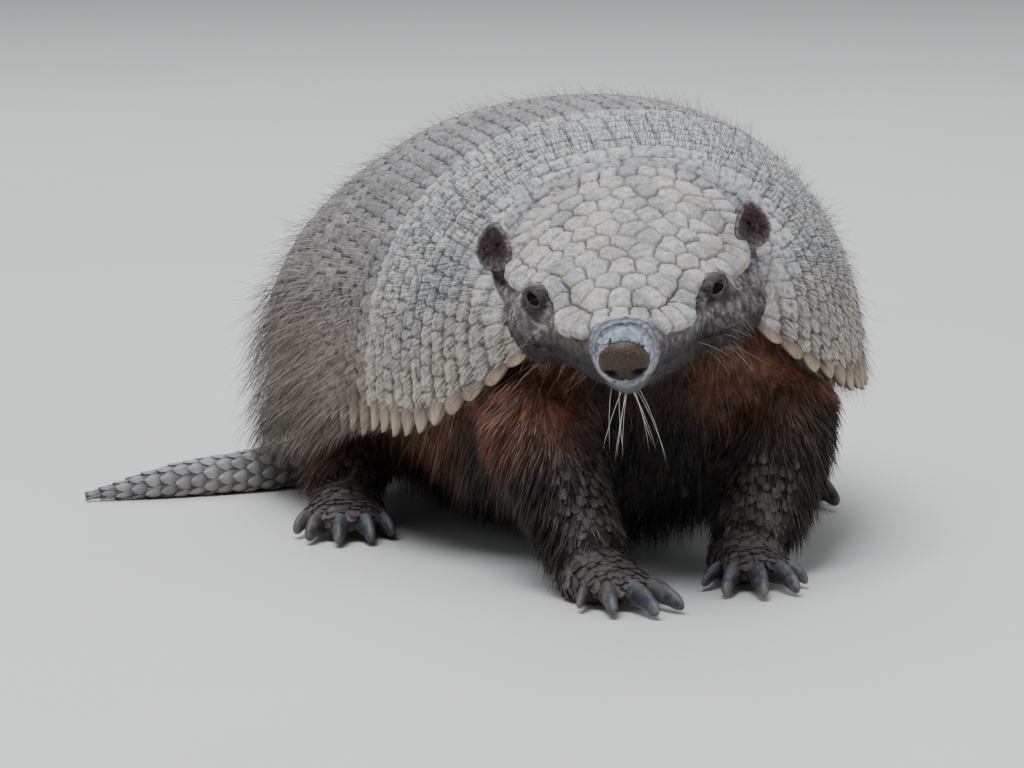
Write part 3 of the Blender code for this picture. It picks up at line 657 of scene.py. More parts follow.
# side, size, and the shift in centimetres that pricks the ear, clear of the shield's corner
EARS = {
    "ear_left": (1, 0.98, (-0.10, -0.04, 0.28)),
    "ear_right": (-1, 1.0, (0.07, -0.16, 0.18)),
}
for name, (side, size, shift) in EARS.items():
    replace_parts(make_ear(name + "_leaf", side, size, shift, ear_skin), name)

# -------------------------------------------------------------------------------- claws
# Long digging claws of blue-grey horn, arched, deeper than wide, blunt and worn pale at the tip. Each is a
# sheath over the last bone of a toe, and starts inside the skin of the foot.

# where each foot stands, in centimetres, its heading in degrees, and how far its toes spread
FEET = {
    "fore_foot_right": ((-2.9, -11.75), 15.0, 0.80),
    "fore_foot_left": ((2.2, -9.7), -9.0, 0.80),
    "hind_foot_right": ((-7.25, 1.3), -15.0, 0.80),
    "hind_foot_left": ((6.3, 3.7), 12.0, 0.85),
}
# toes from the inner to the outer: spread in degrees, reach, radius, claw length
FORE_TOES = (
    (48, 1.15, 0.25, 0.95), (22, 1.55, 0.34, 1.50), (-2, 1.70, 0.37, 1.65), (-27, 1.50, 0.35, 1.40),
    (-54, 1.15, 0.25, 0.85),
)
HIND_TOES = (
    (42, 1.75, 0.30, 0.65), (20, 2.15, 0.35, 0.95), (-1, 2.30, 0.36, 1.00), (-22, 2.10, 0.35, 0.90),
    (-44, 1.60, 0.30, 0.60),
)
PALM_AHEAD, TOE_FAN, TOE_HEIGHT, CLAW_TIP = 0.45, 0.35, 0.52, 0.05


def claw_material():
    """Horn in long fibres, blue grey with streaks 3 mm apart of ochre and pale grey, polished by digging."""
    material, shader = new_material("digging_horn", Roughness=0.5, IOR=1.5)
    mark = add(material, "Attribute", {"attribute_name": "marking"}).outputs["Color"]
    place = add(material, "TexCoord").outputs["Object"]
    streak = add(material, "TexNoise", Vector=place, Scale=0.35 / MM, Detail=6.0, Distortion=1.5)
    stain = add(material, "MapRange", Value=streak.outputs["Fac"], _1=0.48, _2=0.70, _4=0.75)
    colour = add(material, "Mix", {"data_type": "RGBA"}, _0=stain.outputs["Result"], _6=mark)
    colour.inputs[7].default_value = (*linear("#6D675C"), 1)
    rub = add(material, "MapRange", Value=streak.outputs["Fac"], _3=0.38, _4=0.68)
    finish_with(
        material, shader, colour.outputs[2], rub.outputs["Result"], streak.outputs["Fac"], 0.3 * MM, 0.5
    )
    return material


def make_claw(name, start, way, radius, length, material):
    """A deep oval horn that arches forward and down from the toe's last joint to a blunt tip."""
    rows, around = 26, 20
    share = 1 - 1.18 * np.linspace(1, 0, rows) ** 1.5  # below 0 the horn is inside the toe
    free = np.clip(share, 0, 1)
    ahead = length * (share - 0.10 * share**2)
    height = 0.22 * radius * np.sin(math.pi * free**0.9)
    fall = (TOE_HEIGHT - CLAW_TIP - 0.14) * free**1.3
    line = np.array(start) + np.outer(ahead, way) + np.outer(height - fall, (0, 0, 1))
    size = radius * 0.92 * (1 - 0.42 * free) * np.sqrt(np.clip(1 - free**9, 0.03, 1))
    turn = np.arange(around) * 2 * math.pi / around
    side = np.cross(way, (0, 0, 1))
    slope = unit(np.gradient(line, axis=0))
    up = np.cross(side, slope)
    keel = 1 + 0.12 * np.exp(-((np.sin(turn) - 1) / 0.2) ** 2)
    ring = 0.80 * np.outer(np.cos(turn), side)[None] * size[:, None, None]
    ring = ring + (np.sin(turn) * 1.05 * keel)[None, :, None] * up[:, None] * size[:, None, None]
    points = (line[:, None] + ring) * CM
    points[..., 2] = np.maximum(points[..., 2], 0.3 * MM)
    points += MIDDLE
    worn = np.repeat(ramp(0.72, 1.0, share), around)
    # painted highlight along the claw's upper side, mixed below with the real pale wear at the tip
    pale = ramp(0.5, 1.0, np.tile(np.sin(turn), rows)) * 0.30
    cloud = ripple(points.reshape(-1, 3), 4.5 * MM, 61)
    pale = np.clip(0.5 * worn * ramp(-0.3, 0.5, cloud) + pale * ramp(0.3, -0.4, cloud), 0, 1)
    marks = mix_of(mix_of("#31363E", "#7F7E7A", pale), "#665743", 0.45 * ramp(0.2, 0.7, cloud))
    quads = grid_faces(rows, around, around=True)
    ends = np.array([line[0] * CM + MIDDLE, line[-1] * CM + MIDDLE])
    j, first_end, tail = np.arange(around), rows * around, (rows - 1) * around
    k = (j + 1) % around
    caps = np.concatenate([
        np.column_stack([k, j, np.full(around, first_end)]),
        np.column_stack([tail + j, tail + k, np.full(around, first_end + 1)]),
    ])
    triangles = np.concatenate([quads[:, :3], quads[:, [0, 2, 3]], caps])
    marks = np.concatenate([marks, marks[:1], marks[-1:]])
    points = np.concatenate([points.reshape(-1, 3), ends])
    return make_piece(name, points, [triangles], material, marks)


def toes_of(name):
    """Each toe of a foot: place where its claw starts, direction, radius and claw length, in centimetres."""
    place, heading, spread_share = FEET[name]
    forward = np.array((math.sin(math.radians(heading)), -math.cos(math.radians(heading)), 0.0))
    side = np.cross((0, 0, 1), forward) * (1.0 if place[0] < 0 else -1.0)
    for spread, reach, radius, claw in FORE_TOES if name.startswith("fore") else HIND_TOES:
        angle = math.radians(spread * spread_share)
        way = forward * math.cos(angle) + side * math.sin(angle)
        root = np.array((*place, 0.0)) + forward * PALM_AHEAD + way * TOE_FAN
        yield root + way * reach + (0, 0, TOE_HEIGHT), way, radius, claw


horn = claw_material()
for name in FEET:
    for k, (start, way, radius, length) in enumerate(toes_of(name)):
        claw = make_claw(f"{name}_claw_{k + 1}_horn", start, way, radius, length, horn)
        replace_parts(claw, f"{name}_claw_{k + 1}")

# -------------------------------------------------------------------------------- foot scales
# Small scales of horn that overlap towards the claws on the feet and shins. Each is rooted in the skin and
# lifts a little at its free end.

skin_triangles = np.array([tri.vertices[:] for tri in skin_mesh.loop_triangles])
skin_tree = BVHTree.FromPolygons(skin_places.tolist(), skin_triangles.tolist())
chance = np.random.default_rng(7)


def scatter(share, count):
    """Random places on the skin, as dense as the share asks: points, normals, corners and corner weights."""
    corners = skin_places[skin_triangles]
    area = np.linalg.norm(np.cross(corners[:, 1] - corners[:, 0], corners[:, 2] - corners[:, 0]), axis=1)
    weight = area * share[skin_triangles].mean(axis=1)
    face = chance.choice(len(skin_triangles), count, p=weight / weight.sum())
    a, b = np.sqrt(chance.random(count)), chance.random(count)
    weights = np.column_stack([1 - a, a * (1 - b), a * b])
    at = skin_triangles[face]
    point = (skin_places[at] * weights[..., None]).sum(axis=1)
    normal = unit((skin_normals[at] * weights[..., None]).sum(axis=1))
    return point, normal, at, weights


def spaced(points, gap):
    """Keeps only points that stand at least a gap from all kept before them."""
    cells, kept = {}, []
    for i, point in enumerate(points):
        cell = tuple((point // gap).astype(int))
        near = [
            k for x in (-1, 0, 1) for y in (-1, 0, 1) for z in (-1, 0, 1)
            for k in cells.get((cell[0] + x, cell[1] + y, cell[2] + z), ())
        ]
        if all(((points[k] - point) ** 2).sum() > gap * gap for k in near):
            cells.setdefault(cell, []).append(i)
            kept.append(i)
    return np.array(kept)


LOCK_PATCH = 0.003  # width of a lock or scale on the baking map
MAP_RANGE = 0.003, 0.997
SCALE_GAP = 2.3 * MM
LIMBS = ("fore_leg_left", "fore_leg_right", "hind_leg_left", "hind_leg_right")


def skin_spots(points, part):
    """Places on an unwrap of the skin: trunk and head as one rolled-out tube, each limb as its own.

    The tube takes the left of the map, and the limbs stand over each other at the right.
    """
    x, s, z = out_of_pose(points)
    spots = np.stack([0.35 + 0.33 * np.arctan2(x, 6 * CM - z) / math.pi, 0.52 + s / 0.5], axis=-1)
    for k, name in enumerate(LIMBS):
        low, high = (np.array(corner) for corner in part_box(name))
        middle = (low + high) / 2
        mine = part == k
        turn = np.arctan2(points[:, 0] - middle[0], middle[1] - points[:, 1]) / math.pi
        limb = np.stack([0.86 + 0.13 * turn, 0.01 + 0.24 * k + points[:, 2] / 0.34], axis=-1)
        spots[mine] = limb[mine]
    return np.clip(spots, *MAP_RANGE)


def lay_patches(piece, spots, across, along, faces):
    """The baking map: each lock or scale is a small patch at its root's place on the unwrapped skin."""
    spots = spots + np.stack([across, along], axis=-1) * LOCK_PATCH
    layer = piece.data.uv_layers.new(name="OFBake")
    layer.data.foreach_set("uv", spots[np.asarray(faces).ravel()].astype(np.float32).ravel())


def along_and_across(rows, columns):
    """Two grids: from 0 to 1 along the rows, and from -1 to 1 across them."""
    return np.meshgrid(np.linspace(0, 1, rows), np.linspace(-1, 1, columns), indexing="ij")


def scale_bodies(rows, columns, upper, lower):
    """Many alike scales as one mesh, each with an upper and a lower side and a skirt between their rims."""
    n = rows * columns
    top = grid_faces(rows, columns)
    i, j = np.arange(rows - 1), np.arange(columns - 1)
    last = (rows - 1) * columns + j
    left, right = i * columns, (i + 1) * columns - 1
    skirt = np.concatenate([
        np.column_stack([last, last + 1, last + 1 + n, last + n]),
        np.column_stack([j + 1, j, j + n, j + 1 + n]),
        np.column_stack([left, left + columns, left + columns + n, left + n]),
        np.column_stack([right + columns, right, right + n, right + columns + n]),
    ])
    shape = np.concatenate([top[:, ::-1], top + n, skirt])
    faces = (shape[None] + (np.arange(len(upper)) * 2 * n)[:, None, None]).reshape(-1, 4)
    a, b = (grid.ravel() for grid in along_and_across(rows, columns))
    along, across = (np.tile(np.concatenate([one, one]), len(upper)) for one in (a, b))
    return np.concatenate([upper, lower], axis=1).reshape(-1, 3), faces, along, across


def leaves(points, normals, ways, length, width, rise, thick):
    """Overlapping horny scales: domed leaves, rooted in the skin, lifted at their free ends."""
    rows, columns = 5, 6
    a, b = (grid.ravel() for grid in along_and_across(rows, columns))
    ways = unit(ways - normals * (ways * normals).sum(axis=1, keepdims=True))
    sides = np.cross(normals, ways)
    tip = np.clip(1 - np.clip((a - 0.35) / 0.68, 0, 1) ** 2.6, 0, 1)
    half = np.sqrt(tip) * (0.75 + 0.25 * ramp(0, 0.4, a))
    along = (a - 0.5)[None] * length[:, None]
    across = (b * half)[None] * width[:, None] / 2
    up = rise * a[None] ** 1.3 + thick * (1 - b**2)[None] + 0.1 * MM
    up = up - 0.55 * MM * (1 - ramp(0, 0.3, a))[None]
    place = points[:, None] + ways[:, None] * along[..., None] + sides[:, None] * across[..., None]
    upper = place + normals[:, None] * up[..., None]
    lower = place - normals[:, None] * (0.9 * MM - 0.3 * up[..., None])
    return scale_bodies(rows, columns, upper, lower)


def scale_material(name, rough, dusty=0.55):
    """Thin horn over skin, matt with patches of dust 2 mm across, a little polished between them."""
    material, shader = new_material(name, Roughness=rough, IOR=1.5)
    mark = add(material, "Attribute", {"attribute_name": "marking"}).outputs["Color"]
    place = add(material, "TexCoord").outputs["Object"]
    dust = add(material, "TexNoise", Vector=place, Scale=0.45 / MM, Detail=5.0, Roughness=0.7)
    share = add(material, "MapRange", Value=dust.outputs["Fac"], _1=0.4, _2=0.75, _4=dusty)
    colour = add(material, "Mix", {"data_type": "RGBA"}, _0=share.outputs["Result"], _6=mark)
    colour.inputs[7].default_value = (*linear("#8F857A"), 1)
    gleam = add(material, "MapRange", Value=dust.outputs["Fac"], _3=rough - 0.15, _4=rough + 0.25)
    finish_with(
        material, shader, colour.outputs[2], gleam.outputs["Result"], dust.outputs["Fac"], 0.4 * MM, 0.5
    )
    return material


feet_share, legs_share = group(shares, "foot"), group(shares, "leg")
inward = -np.sign(skin_places[:, 0] - MIDDLE[0] * 0.5)
# the legs' inner and front sides have little hair
bald = ramp(0.0, 0.75, 0.6 * skin_normals[:, 0] * inward - 0.8 * skin_normals[:, 1])
shin_share = legs_share * ramp(3.6 * CM, 1.8 * CM, skin_places[:, 2]) * bald * 1.4
scaled = np.clip(feet_share + shin_share, 0, 1) * ramp(-0.6, -0.1, skin_normals[:, 2])
points, normals, _, _ = scatter(scaled, 12000)
kept = spaced(points, SCALE_GAP)
points, normals = points[kept], normals[kept]
from_foot = {
    name: np.linalg.norm(points[:, :2] - MIDDLE[:2] - np.array(place) * CM, axis=1)
    for name, (place, _, _) in FEET.items()
}
ways = np.zeros_like(points)
for name, (_, heading, _) in FEET.items():
    turn = math.radians(heading)
    ways[from_foot[name] < 5 * CM] = math.sin(turn), -math.cos(turn), -0.35
ways[points[:, 2] > 1.6 * CM] += (0, 0, -1.5)
size = chance.uniform(0.85, 1.25, len(points)) * (3.6 - 1.3 * ramp(1.5, 2.8, points[:, 2] / CM)) * MM
size *= 0.62 + 0.38 * ramp(0.1, 0.9, points[:, 2] / CM)
feet_places, feet_faces, along, across = leaves(
    points, normals, ways, size * 1.45, size * 1.15, 0.55 * MM, 0.28 * MM
)
per_scale = len(along) // len(points)
tone = np.repeat(chance.random(len(points)), per_scale)
marks = mix_of("#4F4443", "#302827", tone)
# painted shade on each scale: darker at its root under the scale before it and at its sides, lighter at its
# lifted end
marks = marks * (1.1 - 0.5 * np.abs(across[:, None]) ** 3) * (0.5 + 0.7 * along[:, None])
marks = mix_of(marks, "#1F1713", 0.85 * ramp(1.5, 2.6, feet_places[:, 2] / CM))
foot_horn = scale_material("foot_horn", 0.6, 0.28)
foot_scales = make_piece("foot_scales", feet_places, [feet_faces], foot_horn, marks)
part = np.argmin([from_foot[limb.replace("leg", "foot")] for limb in LIMBS], axis=0)
spots = np.repeat(skin_spots(points, part), per_scale, axis=0)
lay_patches(foot_scales, spots, across / 2, along - 0.5, feet_faces)

# -------------------------------------------------------------------------------- tail scales
# The tail's armour: rings of pointed, keeled scutes that overlap towards the tip like tiles. They are bone
# under horn, set in the skin of the tail.

TAIL_PATH = (
    (-1.0, 10.6, 4.6), (-1.7, 12.0, 2.9), (-3.1, 12.0, 1.35), (-5.4, 10.3, 0.85),
    (-8.2, 8.5, 0.68), (-11.4, 7.7, 0.52), (-14.2, 7.4, 0.20),
)
TAIL_RADII = (1.35, 1.25, 1.02, 0.86, 0.74, 0.55, 0.16)
RING_STEP, SCUTE_WIDTH = 4.6 * MM, 5.0 * MM


def read_off(table, at):
    """Values between the rows of a table whose first column rises, in metres (cubic Hermite)."""
    rows = np.array(table)
    at = np.clip(np.asarray(at, float) / CM, rows[0, 0], rows[-1, 0])
    i = np.clip(np.searchsorted(rows[:, 0], at, side="right") - 1, 0, len(rows) - 2)
    low, high = rows[i], rows[i + 1]
    before, after = rows[np.maximum(i - 1, 0)], rows[np.minimum(i + 2, len(rows) - 1)]
    span = high[..., :1] - low[..., :1]
    t = (at[..., None] - low[..., :1]) / span
    leave = (high - before) / (high[..., :1] - before[..., :1]) * span
    arrive = (after - low) / (after[..., :1] - low[..., :1]) * span
    start = (2 * t**3 - 3 * t**2 + 1) * low + (t**3 - 2 * t**2 + t) * leave
    end = (3 * t**2 - 2 * t**3) * high + (t**3 - t**2) * arrive
    return np.moveaxis((start + end)[..., 1:], -1, 0) * CM


def tail_frames():
    """Places, directions and radii of the tail's rings, at even steps along its middle line."""
    table = [(i, *place, radius) for i, (place, radius) in enumerate(zip(TAIL_PATH, TAIL_RADII))]
    fine = np.linspace(0, len(TAIL_PATH) - 1, 400)
    x, y, z, radius = read_off(table, fine * CM)
    line = np.column_stack([x, y, z])
    length = np.concatenate([[0], np.cumsum(np.linalg.norm(np.diff(line, axis=0), axis=1))])
    at = np.arange(0.55 * CM, length[-1] - 0.1 * CM, RING_STEP)
    middle = np.column_stack([np.interp(at, length, line[:, k]) for k in range(3)])
    ahead = np.column_stack([np.interp(at + 1 * MM, length, line[:, k]) for k in range(3)]) - middle
    return middle, unit(ahead), np.interp(at, length, radius)


points, normals, ways, sizes, ring_at, turned = [], [], [], [], [], []
for k, (middle, way, radius) in enumerate(zip(*tail_frames())):
    side = unit(np.cross(way, (0, 0, 1)))
    up = np.cross(side, way)
    count = max(6, round(2 * math.pi * radius / SCUTE_WIDTH))
    for j in range(count):
        turn = 2 * math.pi * (j + 0.5 * (k % 2)) / count
        normal = side * math.cos(turn) + up * math.sin(turn)
        points.append(middle + normal * (radius - 1.0 * MM))
        normals.append(normal)
        ways.append(way)
        sizes.append(2 * math.pi * radius / count)
        ring_at.append(k)
        turned.append(math.sin(turn / 2))
points, normals, ways, sizes, ring_at, turned = map(np.array, (points, normals, ways, sizes, ring_at, turned))
points = points + MIDDLE
keep = points[:, 2] > 0.6 * MM
points, normals, ways, sizes = points[keep], normals[keep], ways[keep], sizes[keep]


def pointed_scutes(points, normals, ways, width, length):
    """Keeled, pointed tiles, each rooted under the one before it."""
    rows, columns = 7, 7
    a, b = (grid.ravel() for grid in along_and_across(rows, columns))
    sides = np.cross(normals, ways)
    point = 1.06 * np.sqrt(np.clip((1 - a) / 0.55, 0, 1)) ** 1.15
    half = np.where(a < 0.45, 0.86 + 0.20 * np.sin(math.pi * a / 0.9), point)
    along = (a - 0.35)[None] * length[:, None]
    across = (b * half)[None] * width[:, None] / 2
    keel = 0.06 * width[:, None] * np.exp(-((b / 0.42) ** 2))[None] * ramp(0.0, 0.5, a)[None]
    dome = 0.12 * width[:, None] * (1 - b**2)[None] * (1 - 0.5 * a)[None]
    up = keel + dome + (0.25 * MM * a)[None] - 0.6 * MM * (1 - ramp(0, 0.35, a))[None]
    place = points[:, None] + ways[:, None] * along[..., None] + sides[:, None] * across[..., None]
    upper = place + normals[:, None] * up[..., None]
    lower = place - normals[:, None] * (0.8 * MM - 0.4 * up[..., None])
    return scale_bodies(rows, columns, upper, lower)


tail_places, tail_faces, along, across = pointed_scutes(
    points, normals, ways, sizes * 1.02, np.maximum(sizes * 1.3, RING_STEP * 1.45)
)
tail_places[:, 2] = np.maximum(tail_places[:, 2], 0.2 * MM)
per_scute = len(along) // len(points)
tone = np.repeat(chance.random(len(points)), per_scute)
marks = mix_of("#9A9894", "#77757A", tone)
# painted shade on each scute: darker at its root under the one before it and towards its sides
marks = marks * ((0.45 + 0.55 * ramp(0.1, 0.6, along)) * (1 - 0.35 * ramp(0.6, 1.0, np.abs(across))))[:, None]
tail_horn = scale_material("tail_horn", 0.5)
tail_scutes = make_piece("tail_scutes", tail_places, [tail_faces], tail_horn, marks)
# the tail takes a strip along the top of the baking map
spots = np.column_stack([0.04 + 0.62 * ring_at[keep] / ring_at.max(), 0.88 + 0.08 * turned[keep]])
lay_patches(tail_scutes, np.repeat(spots, per_scute, axis=0), across / 2, along - 0.5, tail_faces)

# -------------------------------------------------------------------------------- carapace
# Bony scutes under thin horn: a fused shield over the shoulders, seven movable bands and a fused hip shield.
# Each row ends at the flank in a pointed, cream-coloured scute.

ARCH_POWER = 0.89
FRONT_CROWN, FRONT_CORNER, FRONT_SWEEP = -7.5 * CM, -11.0 * CM, 0.73
SCAPULAR_REAR, BAND_COUNT, BAND_PITCH, CARAPACE_REAR = -3.5 * CM, 7, 1.05 * CM, 12.0 * CM
REAR_LIP, SHELL_THICK = 1.2 * MM, 2.6 * MM
SCUTE_AROUND, SHIELD_ROW, HIP_ROW = 5.5 * MM, 5.7 * MM, 9.6 * MM
MARGIN_STOP = 0.985  # share of the way down to the margin that the armour and its bristles reach
FIRST_ROW = -10.9 * CM  # no row's scutes are counted in front of this
HORN_GRAIN = 1.2 * MM, 32, 18  # grain of the horn, for ripple()
# along the back: half-width, crown height, height of the widest place, height of the lower margin
CARAPACE = (
    (-11.0, 3.35, 10.9, 8.4, 7.35), (-9.0, 5.0, 11.6, 7.2, 5.9), (-6.5, 6.4, 12.4, 5.8, 4.9),
    (-3.5, 7.4, 12.85, 5.1, 4.7), (0.0, 7.95, 12.9, 5.1, 4.3), (4.0, 8.2, 12.6, 5.1, 3.9),
    (8.0, 8.2, 11.2, 5.0, 3.6), (10.0, 7.3, 9.3, 4.9, 3.4), (11.3, 5.2, 7.4, 4.8, 3.5),
    (12.0, 3.0, 5.9, 4.6, 3.8),
)


def signed_power(value, exponent):
    """A power that keeps the sign of its base."""
    return np.sign(value) * np.abs(value) ** exponent


def margin_angle(s):
    """How far round from the crown the carapace reaches, in radians."""
    _, crown, widest, margin = read_off(CARAPACE, s)
    return np.arccos(signed_power((margin - widest) / (crown - widest), 1 / ARCH_POWER))


def leaning(s, psi):
    """Sections lean towards the head with the carapace's front edge."""
    share = (s - FRONT_CORNER) / (SCAPULAR_REAR - FRONT_CORNER)
    corner = np.sin(np.minimum(np.abs(psi) * FRONT_SWEEP, math.pi / 2)) ** 2
    start = FRONT_CROWN + (FRONT_CORNER - FRONT_CROWN) * corner
    return np.where(share >= 1, s, start + (SCAPULAR_REAR - start) * share)


def armour_point(s, psi, lift):
    """Points of the carapace, moved out by lift: s along the back, psi round it from the crown."""
    half_width, crown, widest, _ = read_off(CARAPACE, s)
    height = crown - widest
    outward = np.stack([np.sin(psi) * height, np.cos(psi) * half_width], axis=-1)
    outward = unit(outward) * np.asarray(lift)[..., None]
    x = half_width * signed_power(np.sin(psi), ARCH_POWER)
    z = widest + height * signed_power(np.cos(psi), ARCH_POWER)
    return in_pose(x + outward[..., 0], s, z + outward[..., 1])


def arc_length(s, steps=60):
    """Length of the carapace's arch from margin to margin."""
    psi = np.linspace(-1, 1, steps) * margin_angle(s)
    line = armour_point(np.full(steps, s), psi, np.zeros(steps))
    return np.linalg.norm(np.diff(line, axis=0), axis=1).sum()


crown_line = np.linspace(FRONT_CORNER, CARAPACE_REAR, 400)


def travel(s):
    """Length along the crown from the front of the carapace."""
    height = read_off(CARAPACE, crown_line)[1]
    length = np.concatenate([[0], np.cumsum(np.hypot(np.diff(crown_line), np.diff(height)))])
    return np.interp(s, crown_line, length)


def row_middle(end, gone):
    """The place along the back that lies a length in front of the end, along the crown."""
    return float(np.interp(travel(end) - gone, travel(crown_line), crown_line))


def scutes_round(s):
    """How many scutes stand side by side in the row at a place along the back."""
    return round(arc_length(max(s, FIRST_ROW)) / SCUTE_AROUND)


def own_number(row, column, salt):
    """A number from 0 to 1 for each scute, as if at random, but the same on every run."""
    mixed = np.sin(row * 127.1 + column * 311.7 + salt * 74.7) * 43758.5453
    return mixed - np.floor(mixed)


def scute_relief(row, column, u, v, keeled):
    """Height from 0 to 1 over a scute, and how deep a point lies in the crack round it."""
    a, b = 2 * u - 1, 2 * v - 1
    edge = (np.abs(a) ** 4.5 + np.abs(b) ** 4.5) ** (1 / 4.5)
    body = 1 - ramp(0.86, 1.0, edge)
    bias = (own_number(row, column, 1) - 0.5) * 0.3
    figure = 1 - ramp(0.34, 0.62, np.hypot((a - bias) / 0.9, b / (1.3 if keeled else 1.0)))
    turn = np.arctan2(b, a) + 6 * own_number(row, column, 2)
    beads = np.cos(turn * 7) * ramp(0.45, 0.7, edge) * (1 - figure)
    keel = np.exp(-(((a - bias) / 0.16) ** 2)) * ramp(0.2, 0.7, v) if keeled else 0
    tilt = (own_number(row, column, 3) - 0.5) * 0.30 * a + (own_number(row, column, 4) - 0.5) * 0.22 * b
    rise = body * (0.66 + 0.22 * figure + 0.07 * beads + 0.12 * keel + 0.10 * v + tilt)
    return rise + 0.16 * (own_number(row, column, 5) - 0.5) * body, 1 - body


def loop_of(rows, columns):
    """The rim of a grid, once round."""
    return np.concatenate([
        np.arange(columns), np.arange(1, rows) * columns + columns - 1,
        (rows - 1) * columns + np.arange(columns - 2, -1, -1), np.arange(rows - 2, 0, -1) * columns,
    ])


def closed_plate(name, top, under, marks, material):
    """A plate between a fine upper grid and an underside with every fourth of its rows and columns."""
    rows, columns = top.shape[:2]
    coarse = under[::4, ::4]
    first = rows * columns
    fine, plain = loop_of(rows, columns), loop_of(*coarse.shape[:2]) + first
    a, b, c, d, e = fine[::4], fine[1::4], fine[2::4], fine[3::4], np.roll(fine[::4], -1)
    near, far = plain, np.roll(plain, -1)
    sides = [(b, a, near), (c, b, near), (near, far, c), (d, c, far), (e, d, far)]
    faces = [
        grid_faces(rows, columns), grid_faces(*coarse.shape[:2], first=first)[:, ::-1],
        np.concatenate([np.column_stack(side) for side in sides]),
    ]
    points = np.concatenate([top.reshape(-1, 3), coarse.reshape(-1, 3)])
    # painted shade: the underside takes the upper side's colours at 0.6
    marks = np.concatenate([marks.reshape(-1, 3), marks[::4, ::4].reshape(-1, 3) * 0.6])
    return make_piece(name, points, faces, material, marks)


def armour_marks(s, psi, places, crack, rise, row, column, band):
    """Colours of the armour: pale dusty grey on the shoulders, brown grey behind, ochre near the margins."""
    cloud = ripple(places, 9 * MM, 31)
    speck = ripple(places, *HORN_GRAIN)
    tone = own_number(row, column, 6)
    front = mix_of("#BDB8B0", "#969BA2", 0.25 + 0.5 * ramp(-0.4, 0.8, cloud + 0.6 * (tone - 0.5)))
    back = mix_of("#938E8C", "#6A6665", ramp(-0.5, 0.8, 0.25 * cloud + 0.5 * (tone - 0.5)))
    colour = mix_of(back, front, 0.12 * ramp(0.5 * CM, -3.5 * CM, s)) if band else front
    low = ramp(0.62, 0.98, np.abs(psi) / margin_angle(s))
    colour = mix_of(colour, "#8F7F6C" if band else "#A3917A", 0.55 * low * (0.6 + 0.4 * tone))
    colour = colour * (1 + 0.28 * speck + 0.30 * (rise - 0.7))[..., None]
    grime = (0.8 if band else 0.62) * ramp(0.1, 0.8, crack) + 0.45 * ramp(0.35, 0.9, -speck)
    return mix_of(colour, "#362D27", np.clip(grime, 0, 1))


def armour_material(name, dusty):
    """Horn over bone: matt and dusty, with pits 1.2 mm apart, coarser than real ones so that they show."""
    material, shader = new_material(name, Roughness=0.78, IOR=1.5)
    mark = add(material, "Attribute", {"attribute_name": "marking"}).outputs["Color"]
    place = add(material, "TexCoord").outputs["Object"]
    pits = add(material, "TexVoronoi", {"feature": "DISTANCE_TO_EDGE"}, Vector=place, Scale=0.8 / MM)
    grain = add(material, "TexNoise", Vector=place, Scale=0.9 / MM, Detail=6.0, Roughness=0.72)
    shade = add(material, "MapRange", Value=grain.outputs["Fac"], _1=0.3, _2=0.7, _3=0.5, _4=1.42)
    mottled = shaded(material, mark, shade.outputs["Result"])
    cloud = add(material, "TexNoise", Vector=place, Scale=0.12 / MM, Detail=3.0)
    film = add(material, "MapRange", Value=cloud.outputs["Fac"], _1=0.45, _2=0.7, _4=dusty)
    colour = add(material, "Mix", {"data_type": "RGBA"}, _0=film.outputs["Result"], _6=mottled)
    colour.inputs[7].default_value = (*linear("#B9AE9E"), 1)
    relief = add(
        material, "Math", {"operation": "MULTIPLY_ADD"},
        _0=pits.outputs["Distance"], _1=0.8, _2=grain.outputs["Fac"],
    )
    rough = add(material, "MapRange", Value=grain.outputs["Fac"], _3=0.66, _4=0.92)
    finish_with(
        material, shader, colour.outputs[2], rough.outputs["Result"], relief.outputs["Value"], 0.6 * MM, 0.7
    )
    return material


shield_horn, band_horn = armour_material("dusty_shield_horn", 0.28), armour_material("dark_band_horn", 0.15)


